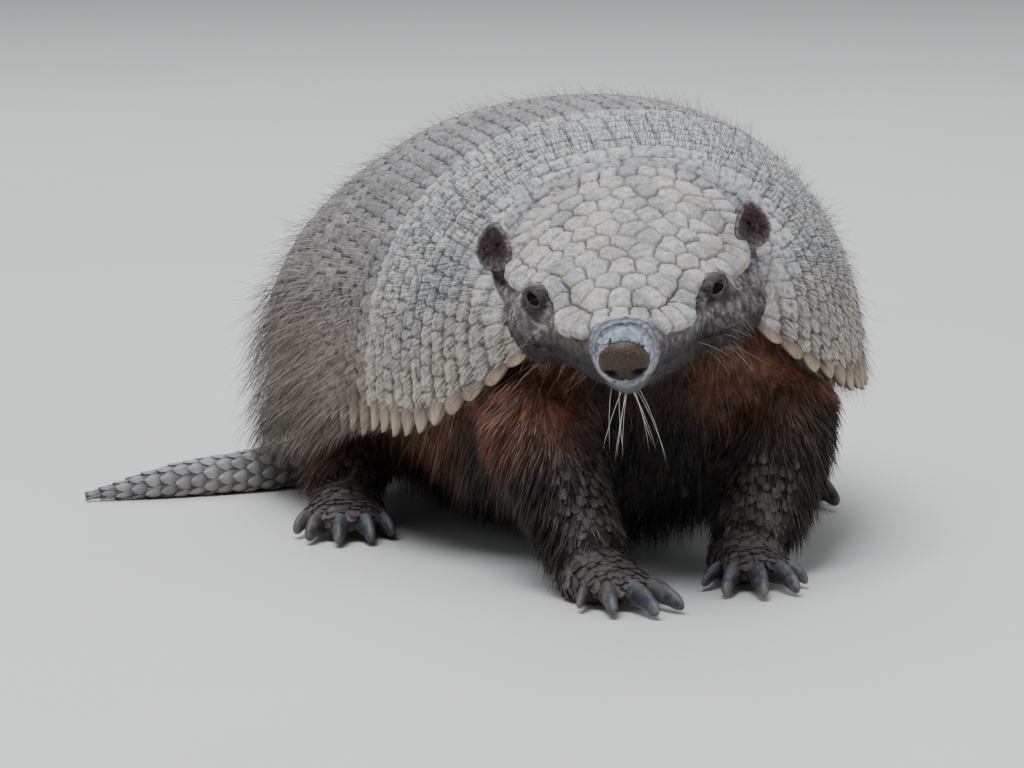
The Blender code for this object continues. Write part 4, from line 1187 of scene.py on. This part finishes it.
def make_shell(name, start, end, row_length, band, overlap=1.8 * MM):
    """One stretch of armour with a scalloped rear edge that overlaps the next one."""
    step = (0.70 if band else 0.60) * MM
    sides = end - start, arc_length((start + end) / 2)
    # closed_plate() takes every fourth point for the underside
    share, across = along_and_across(*(4 * round(length / step / 4) + 1 for length in sides))
    s = start + (end - start) * share
    psi = margin_angle(s) * across * MARGIN_STOP
    s = leaning(s, psi)
    back = (travel(end) - travel(s)) / row_length
    row = np.floor(back)
    v = 1 - (back - row)
    counts = [scutes_round(row_middle(end, (k + 0.5) * row_length)) for k in range(int(row.max()) + 1)]
    columns = np.array(counts)[row.astype(int)]
    stagger = start / BAND_PITCH * 0.5 if band else np.where(row % 2 == 0, 0.0, 0.5)
    at = (psi / margin_angle(s) * 0.5 + 0.5) * columns + stagger
    column = np.floor(at)
    u = at - column
    if not band:
        v = np.clip(v + 0.05 * np.sin(row * 3 + column * 5), 0, 1)
    number = row + 37 * round(start / MM)  # so that no two stretches share their random scutes
    rise, crack = scute_relief(number, column, u, v, band)
    scallop = (1 - (2 * u - 1) ** 4) * ramp(0.93, 1.0, share) * 0.9 * MM
    flat = armour_point(s, psi, np.zeros_like(s))
    rise_mm = (rise - 0.8) * (0.95 if band else 0.68) + 0.20 * ripple(flat, *HORN_GRAIN)
    lift = rise_mm * MM + REAR_LIP * share + (overlap * 0.2) * ramp(0.9, 1.0, share)
    lift = lift - 1.3 * MM * ramp(0.10, 0.0, share)
    reach = np.minimum(s + scallop + overlap * 0.35 * ramp(0.8, 1, share), CARAPACE_REAR)
    top = armour_point(reach, psi, lift)
    under = armour_point(reach, psi, REAR_LIP * share - SHELL_THICK)
    marks = armour_marks(s, psi, flat, crack, rise, number, column, band)
    if not band:
        # painted highlight: the shield's last row of scutes, raised over the first band, is lighter
        rear = ramp(1.15, 0.95, back) * 0.15
        marks = mix_of(marks, "#BEB6A9", rear * (1 - 0.7 * crack))
    material, slot = (band_horn, "band") if band else (shield_horn, "plate")
    return closed_plate(name + "_scutes", top, under, marks, material)


def make_nape(material):
    """Two rows of small scutes that dip from the carapace's front edge down under the head shield."""
    share, across = along_and_across(29, 273)
    psi = margin_angle(FRONT_CORNER) * across * 0.98
    middle = 1 - across**2
    # how far the strip reaches forward, in millimetres: further on the left, where the head turns away
    reach = 1.5 + 8.5 * middle**1.5 + 5.0 * ramp(0.45, 0.7, across) * ramp(1.0, 0.85, across)
    reach *= ramp(-0.60, -0.34, across)
    s = leaning(FRONT_CORNER, psi) + 2.2 * MM - reach * MM * (1 - share)
    back = 2 * (1 - share)
    row = np.minimum(np.floor(back), 1)
    at = across * 16 + 0.5 * row
    column = np.floor(at)
    rise, crack = scute_relief(row + 11, column, at - column, 1 - (back - row), False)
    flat = armour_point(s, psi, np.zeros_like(s))
    lift = 0.55 * (rise - 0.8) + 0.15 * ripple(flat, *HORN_GRAIN) - 1.3
    lift -= (1.5 + 5.5 * middle) * (1 - share) ** 1.9
    top, under = armour_point(s, psi, lift * MM), armour_point(s, psi, lift * MM - 1.6 * MM)
    marks = armour_marks(s, psi, flat, crack, rise, row + 11, column, False)
    # painted shade: the strip darkens towards its front, where it dips under the head shield
    marks = marks * (0.50 + 0.42 * share[..., None])
    return closed_plate("nape_scutes", top, under, marks, material)


def margin_teeth(name, start, end, count, material):
    """The pointed scutes that hang from the lower margin of a stretch of armour."""
    rows, columns = 13, 11
    down, across = along_and_across(rows, columns)
    tops, unders, marks = [], [], []
    for side in (1, -1):
        for k in range(count):
            middle = start + (end - start) * (k + 0.5) / count
            half = (end - start) / count * 0.5 * chance.uniform(0.98, 1.12)
            width = np.where(down < 0.5, 1.0, np.clip((1 - down) / 0.5, 0.0, 1) ** 0.5).clip(0.04)
            share = middle + half * across * width
            psi = side * (margin_angle(share) + (down * chance.uniform(6.6, 8.0) - 3.6) * MM / (6.5 * CM))
            s = leaning(share, psi)
            keel = 0.4 * np.exp(-((across / 0.3) ** 2)) * down
            bulge = 1.25 * (1 - across**2) ** 0.8 * (1 - 0.6 * down**2) + keel
            lift = bulge - 0.9 * (1 - ramp(0, 0.3, down)) + 1.5 * down**2 + 0.3
            tops.append(armour_point(s, psi, lift * MM))
            unders.append(armour_point(s, psi, (1.5 * down**2 - 1.3 * (1 - 0.75 * down)) * MM))
            mix = mix_of("#776C61", "#AE9C7C", ramp(0.1, 0.75, down) * chance.uniform(0.4, 1.0))
            mix = mix_of(mix, "#8E7060", 0.25 + 0.25 * math.sin(k * 2.4))
            streak = ripple(np.stack([across * 4, down * 1.2 + k * 7], axis=-1), 1.0, 34, 12)[..., None]
            # streaks, and painted shade that darkens each pointed scute towards its rounded sides
            mix = mix * (1 + 0.4 * streak) * (1 - 0.75 * np.abs(across[..., None]) ** 3)
            marks.append(mix.reshape(-1, 3))
    n = rows * columns
    faces = grid_faces(rows, columns)
    rim = loop_of(rows, columns)
    after = np.roll(rim, -1)
    shape = np.concatenate([faces, faces[:, ::-1] + n, np.column_stack([after, rim, rim + n, after + n])])
    points, all_faces = [], []
    for k, (top, under) in enumerate(zip(tops, unders)):
        points += [top.reshape(-1, 3), under.reshape(-1, 3)]
        all_faces.append((shape if k < count else shape[:, ::-1]) + k * 2 * n)
    # painted shade: the undersides take the upper sides' colours at 0.6
    colours = np.concatenate([np.concatenate([m, m * 0.6]) for m in marks])
    return make_piece(name + "_margin", np.concatenate(points), all_faces, material, colours)


margin_horn = scale_material("cream_margin_horn", 0.6, 0.35)
seam = 0.4 * MM  # half the open seam between one stretch and the next
bands_end = SCAPULAR_REAR + BAND_COUNT * BAND_PITCH
# name, start, end, length of a row, whether it is dark and keeled, and pointed scutes on each side
shells = [("scapular_shield", FRONT_CORNER, SCAPULAR_REAR - seam, SHIELD_ROW, False, 10)]
for k in range(BAND_COUNT):
    start = SCAPULAR_REAR + k * BAND_PITCH
    shells.append((f"band_{k + 1}", start + seam, start + BAND_PITCH - seam, BAND_PITCH, True, 1))
shells.append(("pelvic_shield", bands_end + seam, CARAPACE_REAR, HIP_ROW, True, 9))
for name, start, end, row_length, band, teeth in shells:
    shell = make_shell(name, start, end, row_length, band)
    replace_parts(shell, name)
    margin_teeth(name, start, end, teeth, margin_horn)
make_nape(shield_horn)

# -------------------------------------------------------------------------------- head shield
# A fused plate of five- and six-sided scutes, worn smooth, with pebble-like scutes round its edge. It is bone
# under thin horn, and fixed to the top of the skull.

# forward of the rear edge, in centimetres: half-width, height of the middle line, drop at the sides
HEAD_SHIELD = (
    (0.0, 2.2, 0.00, 0.55), (1.0, 3.0, 0.18, 1.00), (2.2, 3.4, 0.28, 1.35), (3.4, 3.55, 0.32, 1.50),
    (4.5, 3.10, 0.30, 1.25), (5.5, 2.25, 0.26, 0.72), (6.4, 2.00, 0.22, 0.70), (7.2, 1.95, 0.16, 0.70),
    (8.0, 1.25, 0.12, 0.32),
)
SHIELD_LENGTH = 8.0 * CM
PLATE_THICK, BORDER_STEP, MOSAIC_STEP = 2.2 * MM, 6.0 * MM, 7.2 * MM


def shield_outline():
    """The plate's outline on the flat, as points in millimetres: across, forward."""
    forward = np.linspace(0, SHIELD_LENGTH, 400)
    half_width = read_off(HEAD_SHIELD, forward)[0]
    right = np.column_stack([half_width, forward])
    front = np.column_stack([np.linspace(half_width[-1], -half_width[-1], 60), np.full(60, forward[-1])])
    back = np.column_stack([np.linspace(-half_width[0], half_width[0], 80), np.full(80, forward[0])])
    return np.concatenate([right, front, right[::-1] * (-1, 1), back]) / MM


def mosaic_seeds():
    """Middles of the scutes: one row along the outline, and an even, slightly uneven field inside."""
    outline = shield_outline()
    step = np.linalg.norm(np.diff(outline, axis=0), axis=1)
    length = np.concatenate([[0], np.cumsum(step)])
    count = round(length[-1] / (BORDER_STEP / MM))
    at = (np.arange(count) + 0.5) * length[-1] / count
    border = np.column_stack([np.interp(at, length, outline[:, k]) for k in (0, 1)])
    centre = np.array((0.0, 38.0))
    border = border + unit(centre - border) * 2.6
    dice = np.random.default_rng(5)
    spread = MOSAIC_STEP / MM
    inner = []
    for i in range(-1, 12):
        for j in range(-6, 7):
            spot = np.array(((j + 0.5 * (i % 2)) * spread, 4.0 + i * spread * 0.87))
            spot = spot + dice.normal(size=2) * 0.8
            width = read_off(HEAD_SHIELD, np.clip(spot[1], 0, 80) * MM)[0] / MM
            inside = 4 < spot[1] < 77 and abs(spot[0]) < width - 3
            if inside and np.linalg.norm(border - spot, axis=1).min() > 5.0:
                inner.append(spot)
    return np.concatenate([border, np.array(inner)]), count


def make_head_shield(material):
    """The mosaic as a fine grid: flat-topped scutes with rounded edges, domed along the border."""
    rows, columns = 201, 209
    seeds, border_count = mosaic_seeds()
    forward, across = np.meshgrid(
        np.linspace(0, SHIELD_LENGTH, rows), np.linspace(-1, 1, columns), indexing="ij"
    )
    half_width, crown, drop = read_off(HEAD_SHIELD, forward)
    spots = np.stack([half_width * across, forward], axis=-1) / MM
    warped = spots + np.stack([ripple(spots, 3.0, 41), ripple(spots, 3.0, 42)], axis=-1) * 0.35
    gaps = np.linalg.norm(warped[:, :, None] - seeds[None, None], axis=-1)
    order = np.argsort(gaps, axis=-1)[..., :2]
    nearest = np.take_along_axis(gaps, order, axis=-1)
    own, border = order[..., 0], order[..., 0] < border_count
    ridge = (nearest[..., 1] - nearest[..., 0]) / 2
    body = ramp(0.02, 0.62, ridge)
    dome = 1 - (nearest[..., 0] / 4.2) ** 2
    level = own_number(own, own * 0, 9) - 0.5
    tilt = (warped - seeds[own]) @ np.array((0.03, 0.02)) * np.sin(own * 2.1)
    pits = ripple(spots, 0.9, 43, 14)
    lumps = ripple(spots, 1.7, 46, 16)
    lift = 0.85 * body - 0.65 + np.where(border, 0.65, 0.22) * dome + 0.30 * level + tilt
    lift = (lift + 0.09 * pits + 0.12 * lumps) * MM
    edge = np.minimum(1 - np.abs(across), np.minimum(forward, SHIELD_LENGTH - forward) / (2.2 * CM))
    lift -= 1.3 * MM * ramp(0.045, 0.0, edge)
    pull = 1 - 0.05 * (1 - body) * ramp(0.86, 1.0, np.abs(across))
    x, z = half_width * across * pull, crown - drop * across**2
    outward = unit(np.stack([2 * drop * across / half_width, 0 * x, np.ones_like(x)], axis=-1))
    top = np.stack([x, -forward, z], axis=-1) + outward * lift[..., None]
    under = np.stack([x, -forward, z], axis=-1) - outward * PLATE_THICK
    cloud = ripple(spots, 9.0, 44)
    smear = ripple(spots, 2.4, 45, 14)
    marks = mix_of("#B7B0A6", "#969088", ramp(-0.2, 0.9, cloud + level))
    marks = mix_of(marks, "#858D96", 0.6 * ramp(-0.1, 0.6, smear + 0.8 * level) * ramp(0.0, 0.7, dome))
    marks *= (1 + 0.12 * pits + 0.16 * lumps + 0.10 * (dome - 0.5))[..., None]
    filled = 1 - 0.5 * ramp(0.0, 0.6, ripple(spots, 12.0, 47)) * ~border
    marks = mix_of(marks, "#32261E", 0.9 * ramp(0.36, 0.05, ridge) * filled)
    top, under = times(head_matrix, top), times(head_matrix, under)
    plate = closed_plate("head_shield_scutes", top, under, marks, material)
    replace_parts(plate, "head_shield")


make_head_shield(shield_horn)

# -------------------------------------------------------------------------------- coat
# Coarse hair that grows from the skin in small locks and lies back and down: long on the belly, shorter on
# flanks and legs, thin on chest and face. The hairs of a lock come together towards their tips.

# hairs are shortened so that none ends more than 2 % outside the solids' box, or below the floor
low_corner, high_corner = (np.array(corner) for corner in cad_box)
reach_low = low_corner - 0.020 * (high_corner - low_corner)
reach_high = high_corner + 0.020 * (high_corner - low_corner)
reach_low[2] = 0.4 * MM


def hair_material(name, rough):
    """Hair: each strand is dark at the root and paler at the tip, varied every 2.5 mm, with a dull gleam."""
    material, shader = new_material(name, Roughness=rough, IOR=1.5, Sheen_Weight=0.0)
    mark = add(material, "Attribute", {"attribute_name": "marking"}).outputs["Color"]
    place = add(material, "TexCoord").outputs["Object"]
    vary = add(material, "TexNoise", Vector=place, Scale=0.4 / MM, Detail=3.0)
    shade = add(material, "MapRange", Value=vary.outputs["Fac"], _1=0.3, _2=0.7, _3=0.7, _4=1.3)
    colour = shaded(material, mark, shade.outputs["Result"])
    gleam = add(material, "MapRange", Value=vary.outputs["Fac"], _3=rough - 0.1, _4=rough + 0.15)
    finish_with(material, shader, colour, gleam.outputs["Result"])
    return material


def strands(name, roots, ways, bends, lengths, widths, root_marks, tip_marks, spots, material, flat=True):
    """Tapering hairs as one mesh, flat blades or three-sided bristles, with a patch each on the map."""
    stations = np.array((0.0, 0.35, 0.7, 1.0)) if flat else np.array((0.0, 0.25, 0.5, 0.78, 1.0))
    around = 2 if flat else 3
    count, rings = len(roots), len(stations) - 1
    t = stations[None, :, None]
    line = ways[:, None] * t + bends[:, None] * t**2
    line = line / np.linalg.norm(line[:, -1:], axis=-1, keepdims=True) * lengths[:, None, None]
    ahead = line[:, -1]
    over = np.where(
        ahead > 0,
        (reach_high - roots) / np.maximum(ahead, 1e-9),
        (reach_low - roots) / np.minimum(ahead, -1e-9),
    )
    line = roots[:, None] + line * np.clip(over.min(axis=1), 0.05, 1)[:, None, None]
    side = unit(np.cross(ways, chance.normal(size=ways.shape)))
    other = unit(np.cross(ways, side))
    turn = np.arange(around)[:, None] * 2 * math.pi / around
    taper = widths[:, None] / 2 * (1 - 0.75 * stations[:-1][None] ** 2)
    ring = side[:, None, None] * np.cos(turn) + other[:, None, None] * np.sin(turn)
    body = line[:, :-1, None] + ring * taper[..., None, None]
    points = np.concatenate([body.reshape(count, -1, 3), line[:, -1:]], axis=1)
    shape = []
    for k in range(rings - 1):
        for j in range(1 if flat else around):
            a, b = k * around + j, k * around + (j + 1) % around
            shape += [(a, b, b + around), (a, b + around, a + around)]
    end = (rings - 1) * around
    shape += [(end + j, end + (j + 1) % around, rings * around) for j in range(1 if flat else around)]
    size = rings * around + 1
    faces = (np.array(shape)[None] + (np.arange(count) * size)[:, None, None]).reshape(-1, 3)
    along = np.concatenate([np.repeat(stations[:-1], around), [1.0]])
    marks = root_marks[:, None] + (tip_marks - root_marks)[:, None] * along[None, :, None]
    points[..., 2] = np.maximum(points[..., 2], 0.2 * MM)
    piece = make_piece(name, points.reshape(-1, 3), [faces], material, marks.reshape(-1, 3))
    sideways = np.concatenate([np.tile(np.arange(around) / (around - 1), rings), [0.5]]) - 0.5
    sideways, along = np.tile(sideways, count), np.tile(along - 0.5, count)
    lay_patches(piece, np.repeat(spots, size, axis=0), sideways, along, faces)
    return piece


def share_at(share, at, weights):
    """A share at scattered places."""
    return (share[at] * weights).sum(axis=1)


def make_coat(name, density, locks, hairs, length, width, rise, tan, sag=0.35, spread=0.9 * MM):
    """Locks of hair on the skin: hairs of a lock share their lie and come together towards the tip."""
    points, normals, at, weights = scatter(density, locks)
    turn = out_of_pose(points)[1] / SPINE_BEND
    rear = np.stack([-np.sin(turn), np.cos(turn), np.zeros(locks)], axis=-1)
    down = np.array((0.0, 0.0, -1.0))
    head = share_at(shares["head"], at, weights)[:, None]
    leg = share_at(group(shares, "leg") + group(shares, "foot"), at, weights)[:, None]
    back = np.array(head_matrix)[:3, 1]
    lie = rear * 0.75 + down * 0.75
    lie += (rear * 0.35 + down * 1.0 - lie) * leg
    lie += (back + down * 0.35 - lie) * head
    lie = lie + ripple(points, 12 * MM, 51)[:, None] * np.cross(normals, lie) * 0.35
    lie = unit(lie - normals * (lie * normals).sum(axis=1, keepdims=True))
    long = length[0] + (length[1] - length[0]) * chance.random(locks)
    long *= 1 + 0.25 * ripple(points, 16 * MM, 52)
    long *= 1 - 0.4 * leg[:, 0] * share_at(bald, at, weights)
    # the coat takes the skin's colours, painted shade included
    marks = skin_colours_and_shade(points, {key: share_at(share, at, weights) for key, share in shares.items()})
    part = np.full(locks, -1)
    for k, limb in enumerate(LIMBS):
        both = shares[limb] + shares[limb.replace("leg", "foot")]
        part[share_at(both, at, weights) > 0.5] = k
    spots = skin_spots(points, part)
    total = locks * hairs
    lock = np.repeat(np.arange(locks), hairs)
    normals = normals[lock]
    offset = unit(chance.normal(size=(total, 3))) * chance.random((total, 1)) * spread
    offset -= normals * (offset * normals).sum(axis=1, keepdims=True)
    up = rise[0] + (rise[1] - rise[0]) * chance.random((locks, 1))[lock]
    ways = lie[lock] + normals * up + chance.normal(size=(total, 3)) * 0.10
    bends = down * sag - offset / (spread * 2.2) * 0.35 + chance.normal(size=(total, 3)) * 0.06
    lengths = long[lock] * chance.uniform(0.75, 1.1, total)
    roots = points[lock] + offset - normals * 0.3 * MM
    pale = (chance.random(total) < tan)[:, None] * chance.uniform(0.3, 1.0, (total, 1))
    dusk = chance.uniform(0.0, 0.7, (total, 1))
    root_marks = (marks[lock] * (1 - dusk) + linear("#17120F") * dusk) * chance.uniform(0.8, 1.2, (total, 1))
    tip_marks = root_marks * 1.2 + (linear("#7E6E5B") - root_marks) * pale
    thick = width * chance.uniform(0.75, 1.25, total)
    return strands(name, roots, ways, bends, lengths, thick, root_marks, tip_marks, spots[lock], coat_hair)


coat_hair = hair_material("coarse_coat_hair", 0.5)
_, s, z = out_of_pose(skin_places)
trunk_under = shares["trunk"] * ramp(5.6 * CM, 5.0 * CM, z)
rusty = ramp(3.0, 4.6, z / CM) * ramp(6.0, 3.0, s / CM)
belly = trunk_under * (1 - 0.75 * rusty)
low_leg = ramp(4.8 * CM, 3.2 * CM, skin_places[:, 2])
upper_leg = legs_share * ramp(0.9 * CM, 1.8 * CM, skin_places[:, 2]) * (1 - 0.15 * bald * low_leg)
fore = skin_places[:, 1] < MIDDLE[1] - 2.5 * CM
local = times(into_head, skin_places) / CM
cheek = shares["head"] * ramp(-0.8, -2.2, local[:, 2])
cheek = cheek * ramp(8.4, 7.6, -local[:, 1]) * ramp(2.0, 4.0, -local[:, 1])
wrist = group(shares, "foot") * ramp(0.8 * CM, 1.3 * CM, skin_places[:, 2])
# name, where it grows, locks, hairs in a lock, length, width, rise off the skin, share of pale tips
make_coat("coat_belly", belly, 9800, 4, (11 * MM, 20 * MM), 0.30 * MM, (0.2, 0.6), 0.10, sag=0.6)
make_coat("coat_flank", trunk_under * rusty, 4500, 3, (3 * MM, 6 * MM), 0.20 * MM, (0.12, 0.35), 0.05)
make_coat("coat_fore_legs", upper_leg * fore, 9800, 4, (5 * MM, 12 * MM), 0.25 * MM, (0.15, 0.5), 0.12)
make_coat("coat_hind_legs", upper_leg * ~fore, 8000, 4, (6 * MM, 12 * MM), 0.28 * MM, (0.2, 0.6), 0.12)
make_coat("coat_chest", shares["neck"], 8800, 4, (3 * MM, 6.5 * MM), 0.20 * MM, (0.10, 0.35), 0.04)
make_coat(
    "coat_face", cheek, 2600, 2, (1.5 * MM, 3.5 * MM), 0.16 * MM, (0.1, 0.35), 0.1, sag=0.2, spread=0.5 * MM
)
make_coat("coat_wrists", wrist, 420, 3, (3 * MM, 6 * MM), 0.20 * MM, (0.15, 0.5), 0.15)

# -------------------------------------------------------------------------------- bristles
# Stiff hairs that grow from the skin behind each scute and from under the margin, and sweep back and down:
# short, thin and dark on the shoulders, long and grey tan behind.


def armour_spots(round_it, s):
    """Places on an unwrap of the carapace: round it, and along the back."""
    return np.clip(np.column_stack([round_it, (s + 0.115) / 0.25]), *MAP_RANGE)


def armour_bristles(name, start, end, row_length, each, length, width, rise, colours, crown):
    """Rows of bristles that grow from the rear edge of each scute and sweep back and down.

    Each scute has the same number, but along the crown only a share of them stands.
    """
    roots, rears, outs, lows, spots = [], [], [], [], []
    for k in range(max(1, math.ceil((travel(end) - travel(start)) / row_length - 0.3))):
        line = row_middle(end, k * row_length)
        total = scutes_round(line) * each
        across = (np.arange(total) + chance.random(total)) / total * 2 - 1
        s = line - chance.random(total) * row_length * 0.3
        psi = margin_angle(s) * across * MARGIN_STOP
        front = leaning(np.full(total, FRONT_CORNER), psi) + 2.5 * MM
        left = crown + (0.95 - crown) * ramp(0.45, 0.95, np.abs(across))
        keep = (s > front) & (chance.random(total) < left)
        s, psi = s[keep], psi[keep]
        here = armour_point(s, psi, np.zeros_like(s))
        out = unit(armour_point(s, psi, np.full_like(s, 0.5 * MM)) - here)
        roots.append(here + out * 0.2 * MM)
        rears.append(unit(armour_point(s + 0.5 * MM, psi, np.zeros_like(s)) - here))
        outs.append(out)
        lows.append(ramp(0.35, 0.95, np.abs(psi) / margin_angle(s)))
        spots.append(armour_spots((psi / margin_angle(s)) * 0.47 + 0.5, s))
    roots, rears, outs, lows, spots = map(np.concatenate, (roots, rears, outs, lows, spots))
    total, low = len(roots), lows[:, None]
    up = rise[0] + (rise[1] - rise[0]) * (0.35 * chance.random((total, 1)) + 0.65 * low)
    ways = rears + outs * up + chance.normal(size=(total, 3)) * 0.15
    ways -= np.array((0, 0, 1)) * (0.15 * low + 0.45 * ramp(0.6, 1.0, low))
    bends = np.array((0, 0, -0.22)) * low + chance.normal(size=(total, 3)) * 0.08 - outs * 0.08
    lengths = length[0] + (length[1] - length[0]) * (0.5 * chance.random(total) + 0.5 * lows)
    lengths *= chance.uniform(0.7, 1.1, total)
    mix = chance.random(total) ** 1.4 + 0.15 * lows
    widths = width * chance.uniform(0.7, 1.2, total)
    root_marks, tip_marks = mix_of(*colours, mix * 0.7), mix_of(*colours, np.clip(mix + 0.4, 0, 1.1))
    strands(name, roots, ways, bends, lengths, widths, root_marks, tip_marks, spots, bristle_hair, flat=False)


bristle_hair = hair_material("stiff_bristle", 0.42)
# length of a row, bristles for each scute, their length, width, rise off the armour, darkest and palest
# colour, share left on the crown
shoulder = SHIELD_ROW, 7, (5.5 * MM, 7.5 * MM), 0.18 * MM, (0.50, 0.62), ("#171413", "#453E39"), 0.95
bands = BAND_PITCH, 8, (8 * MM, 23 * MM), 0.16 * MM, (0.32, 0.85), ("#4A4440", "#BBB1A7"), 0.6
hips = HIP_ROW, 9, (10 * MM, 27 * MM), 0.17 * MM, (0.15, 0.8), ("#423C39", "#B3A99F"), 0.45
armour_bristles("bristles_shoulder", FRONT_CORNER, SCAPULAR_REAR, *shoulder)
armour_bristles("bristles_bands", SCAPULAR_REAR, bands_end, *bands)
armour_bristles("bristles_hips", bands_end, CARAPACE_REAR, *hips)


def margin_fringe():
    """Bristles that hang from behind the pointed scutes of the lower margin."""
    total = 5000
    s = FRONT_CORNER + 1.2 * CM + (CARAPACE_REAR - FRONT_CORNER - 1.5 * CM) * chance.random(total) ** 0.7
    side = chance.choice((-1, 1), total)
    over = ramp(-4.5 * CM, -2.5 * CM, s) * (chance.random(total) < 0.5)  # roots above the pointed scutes
    psi = margin_angle(s) * side * (1 - over * 0.30 * chance.random(total) ** 2)
    s = leaning(s, psi)
    root = (2.2 * over - 1.5) * MM
    here = armour_point(s, psi, root)
    back = unit(armour_point(s + 0.5 * MM, psi, root) - here)
    out = unit(here - armour_point(s, psi, root - 1.0 * MM))
    share = ramp(-6 * CM, 2 * CM, s)
    ways = back * 0.7 + out * 0.55 + np.array((0, 0, -0.9)) + chance.normal(size=(total, 3)) * 0.16
    bends = np.array((0, 0, -0.25)) + chance.normal(size=(total, 3)) * 0.08
    lengths = (5 + 16 * share) * MM * chance.uniform(0.6, 1.25, total)
    mix = chance.random(total) ** 1.5
    widths = 0.18 * MM * chance.uniform(0.7, 1.2, total)
    root_marks, tip_marks = mix_of("#3A3431", "#B3A695", mix * 0.5), mix_of("#3A3431", "#B3A695", mix)
    spots = armour_spots(0.5 + 0.49 * side, s)
    strands(
        "bristles_margin", here, ways, bends, lengths, widths, root_marks, tip_marks, spots, bristle_hair,
        flat=False,
    )


margin_fringe()

# -------------------------------------------------------------------------------- whiskers
# Single stiff hairs rooted in the skin of the head: white ones under the chin, and scattered dark and pale
# ones on cheeks and lids.


def head_whiskers(name, count, forward, aside, height, way, length, width, colours):
    """Whiskers rooted in the skin of the head, on both sides."""
    side = np.where(np.arange(count) % 2, 1, -1)
    spot = np.column_stack([
        side * chance.uniform(*aside, count), -chance.uniform(*forward, count), chance.uniform(*height, count)
    ]) * CM
    aims = times(head_matrix, spot)
    roots = np.array([skin_tree.find_nearest(aim)[0] for aim in aims.tolist()])
    ways = np.array(way) * np.column_stack([side, np.ones(count), np.ones(count)])
    ways = times(head_matrix, ways + chance.normal(size=(count, 3)) * 0.22, turn_only=True)
    bends = np.array((0, 0, -0.35)) + chance.normal(size=(count, 3)) * 0.08
    marks = mix_of(*colours, chance.random(count))
    lengths = chance.uniform(*length, count) * MM
    widths = width * chance.uniform(0.8, 1.15, count)
    spots = skin_spots(roots, np.full(count, -1))
    ways = unit(ways)
    strands(name, roots, ways, bends, lengths, widths, marks * 0.8, marks, spots, bristle_hair, flat=False)


# name, count, then ranges in centimetres forward, aside and up in the head's frame, direction, length in
# millimetres, width, darkest and palest
WHISKERS = (
    (
        "whiskers_chin", 11, (7.2, 8.9), (0.0, 0.7), (-3.2, -2.2),
        (0.25, -0.3, -1.0), (15, 25), 0.24 * MM, ("#CFC9BB", "#ECE8DE"),
    ),
    (
        "whiskers_cheek", 70, (3.2, 7.2), (1.2, 3.2), (-3.8, -1.4),
        (0.8, -0.35, -0.55), (6, 16), 0.15 * MM, ("#2A2523", "#B8AD9A"),
    ),
    (
        "whiskers_lids", 30, (4.0, 6.2), (2.2, 3.4), (-1.9, -0.2),
        (0.9, -0.2, 0.1), (4, 10), 0.14 * MM, ("#2A2523", "#8C8174"),
    ),
)
for whiskers in WHISKERS:
    head_whiskers(*whiskers)

# -------------------------------------------------------------------------------- floor, light, camera
# A wide, plain, pale floor that isn't part of the animal, with large soft lamps above it in front and behind.
# The camera stands low in front, a little to the animal's right.

FLOOR_HALF = 6.0


def floor_material():
    """A plain pale floor with a faint unevenness."""
    material, shader = new_material("pale_floor", Roughness=0.85)
    place = add(material, "TexCoord").outputs["Object"]
    cloud = add(material, "TexNoise", Vector=place, Scale=6.0, Detail=3.0)
    colour = add(material, "Mix", {"data_type": "RGBA"}, _0=cloud.outputs["Fac"])
    colour.inputs[6].default_value = (*linear("#CFCBC4"), 1)
    colour.inputs[7].default_value = (*linear("#D9D6D0"), 1)
    finish_with(material, shader, colour.outputs[2])
    return material


floor_mesh = bpy.data.meshes.new("floor")
floor_corners = [(x * FLOOR_HALF, y * FLOOR_HALF, 0) for x, y in ((-1, -1), (1, -1), (1, 1), (-1, 1))]
floor_mesh.from_pydata(floor_corners, [], [(0, 1, 2, 3)])
floor_mesh.materials.append(floor_material())
floor = bpy.data.objects.new("floor", floor_mesh)
bpy.context.scene.collection.objects.link(floor)


def soft_light(name, place, aim, size, power, colour):
    """A large square lamp that looks at a point."""
    lamp = bpy.data.lights.new(name, "AREA")
    lamp.size, lamp.energy = size, power
    lamp.color = linear(colour)
    holder = bpy.data.objects.new(name, lamp)
    holder.location = place
    holder.rotation_euler = (Vector(aim) - Vector(place)).to_track_quat("-Z", "Y").to_euler()
    bpy.context.scene.collection.objects.link(holder)


soft_light("key", (-0.45, -0.6, 1.7), (0, 0, 0.06), 1.1, 42, "#F0F5FF")
soft_light("fill", (1.2, -1.0, 0.8), (0, 0, 0.06), 1.2, 6, "#F2F6FF")
soft_light("rim", (0.2, 1.2, 1.4), (0, 0, 0.08), 1.2, 20, "#F2F7FF")
world = bpy.data.worlds.new("studio")
bpy.context.scene.world = world
world.use_nodes = True
background = world.node_tree.nodes["Background"]
background.inputs["Color"].default_value = (*linear("#E0E8F0"), 1)
background.inputs["Strength"].default_value = 0.43

camera_data = bpy.data.cameras.new("camera")
camera_data.sensor_width, camera_data.lens = 36, 189.84
camera_data.clip_start, camera_data.clip_end = 0.05, 20
camera = bpy.data.objects.new("camera", camera_data)
camera.location = (-0.3669, -1.5621, 0.286)
looks_along = Vector((0.2270, 0.9626, -0.1478))
camera.rotation_euler = looks_along.to_track_quat("-Z", "Y").to_euler()
bpy.context.scene.collection.objects.link(camera)
bpy.context.scene.camera = camera
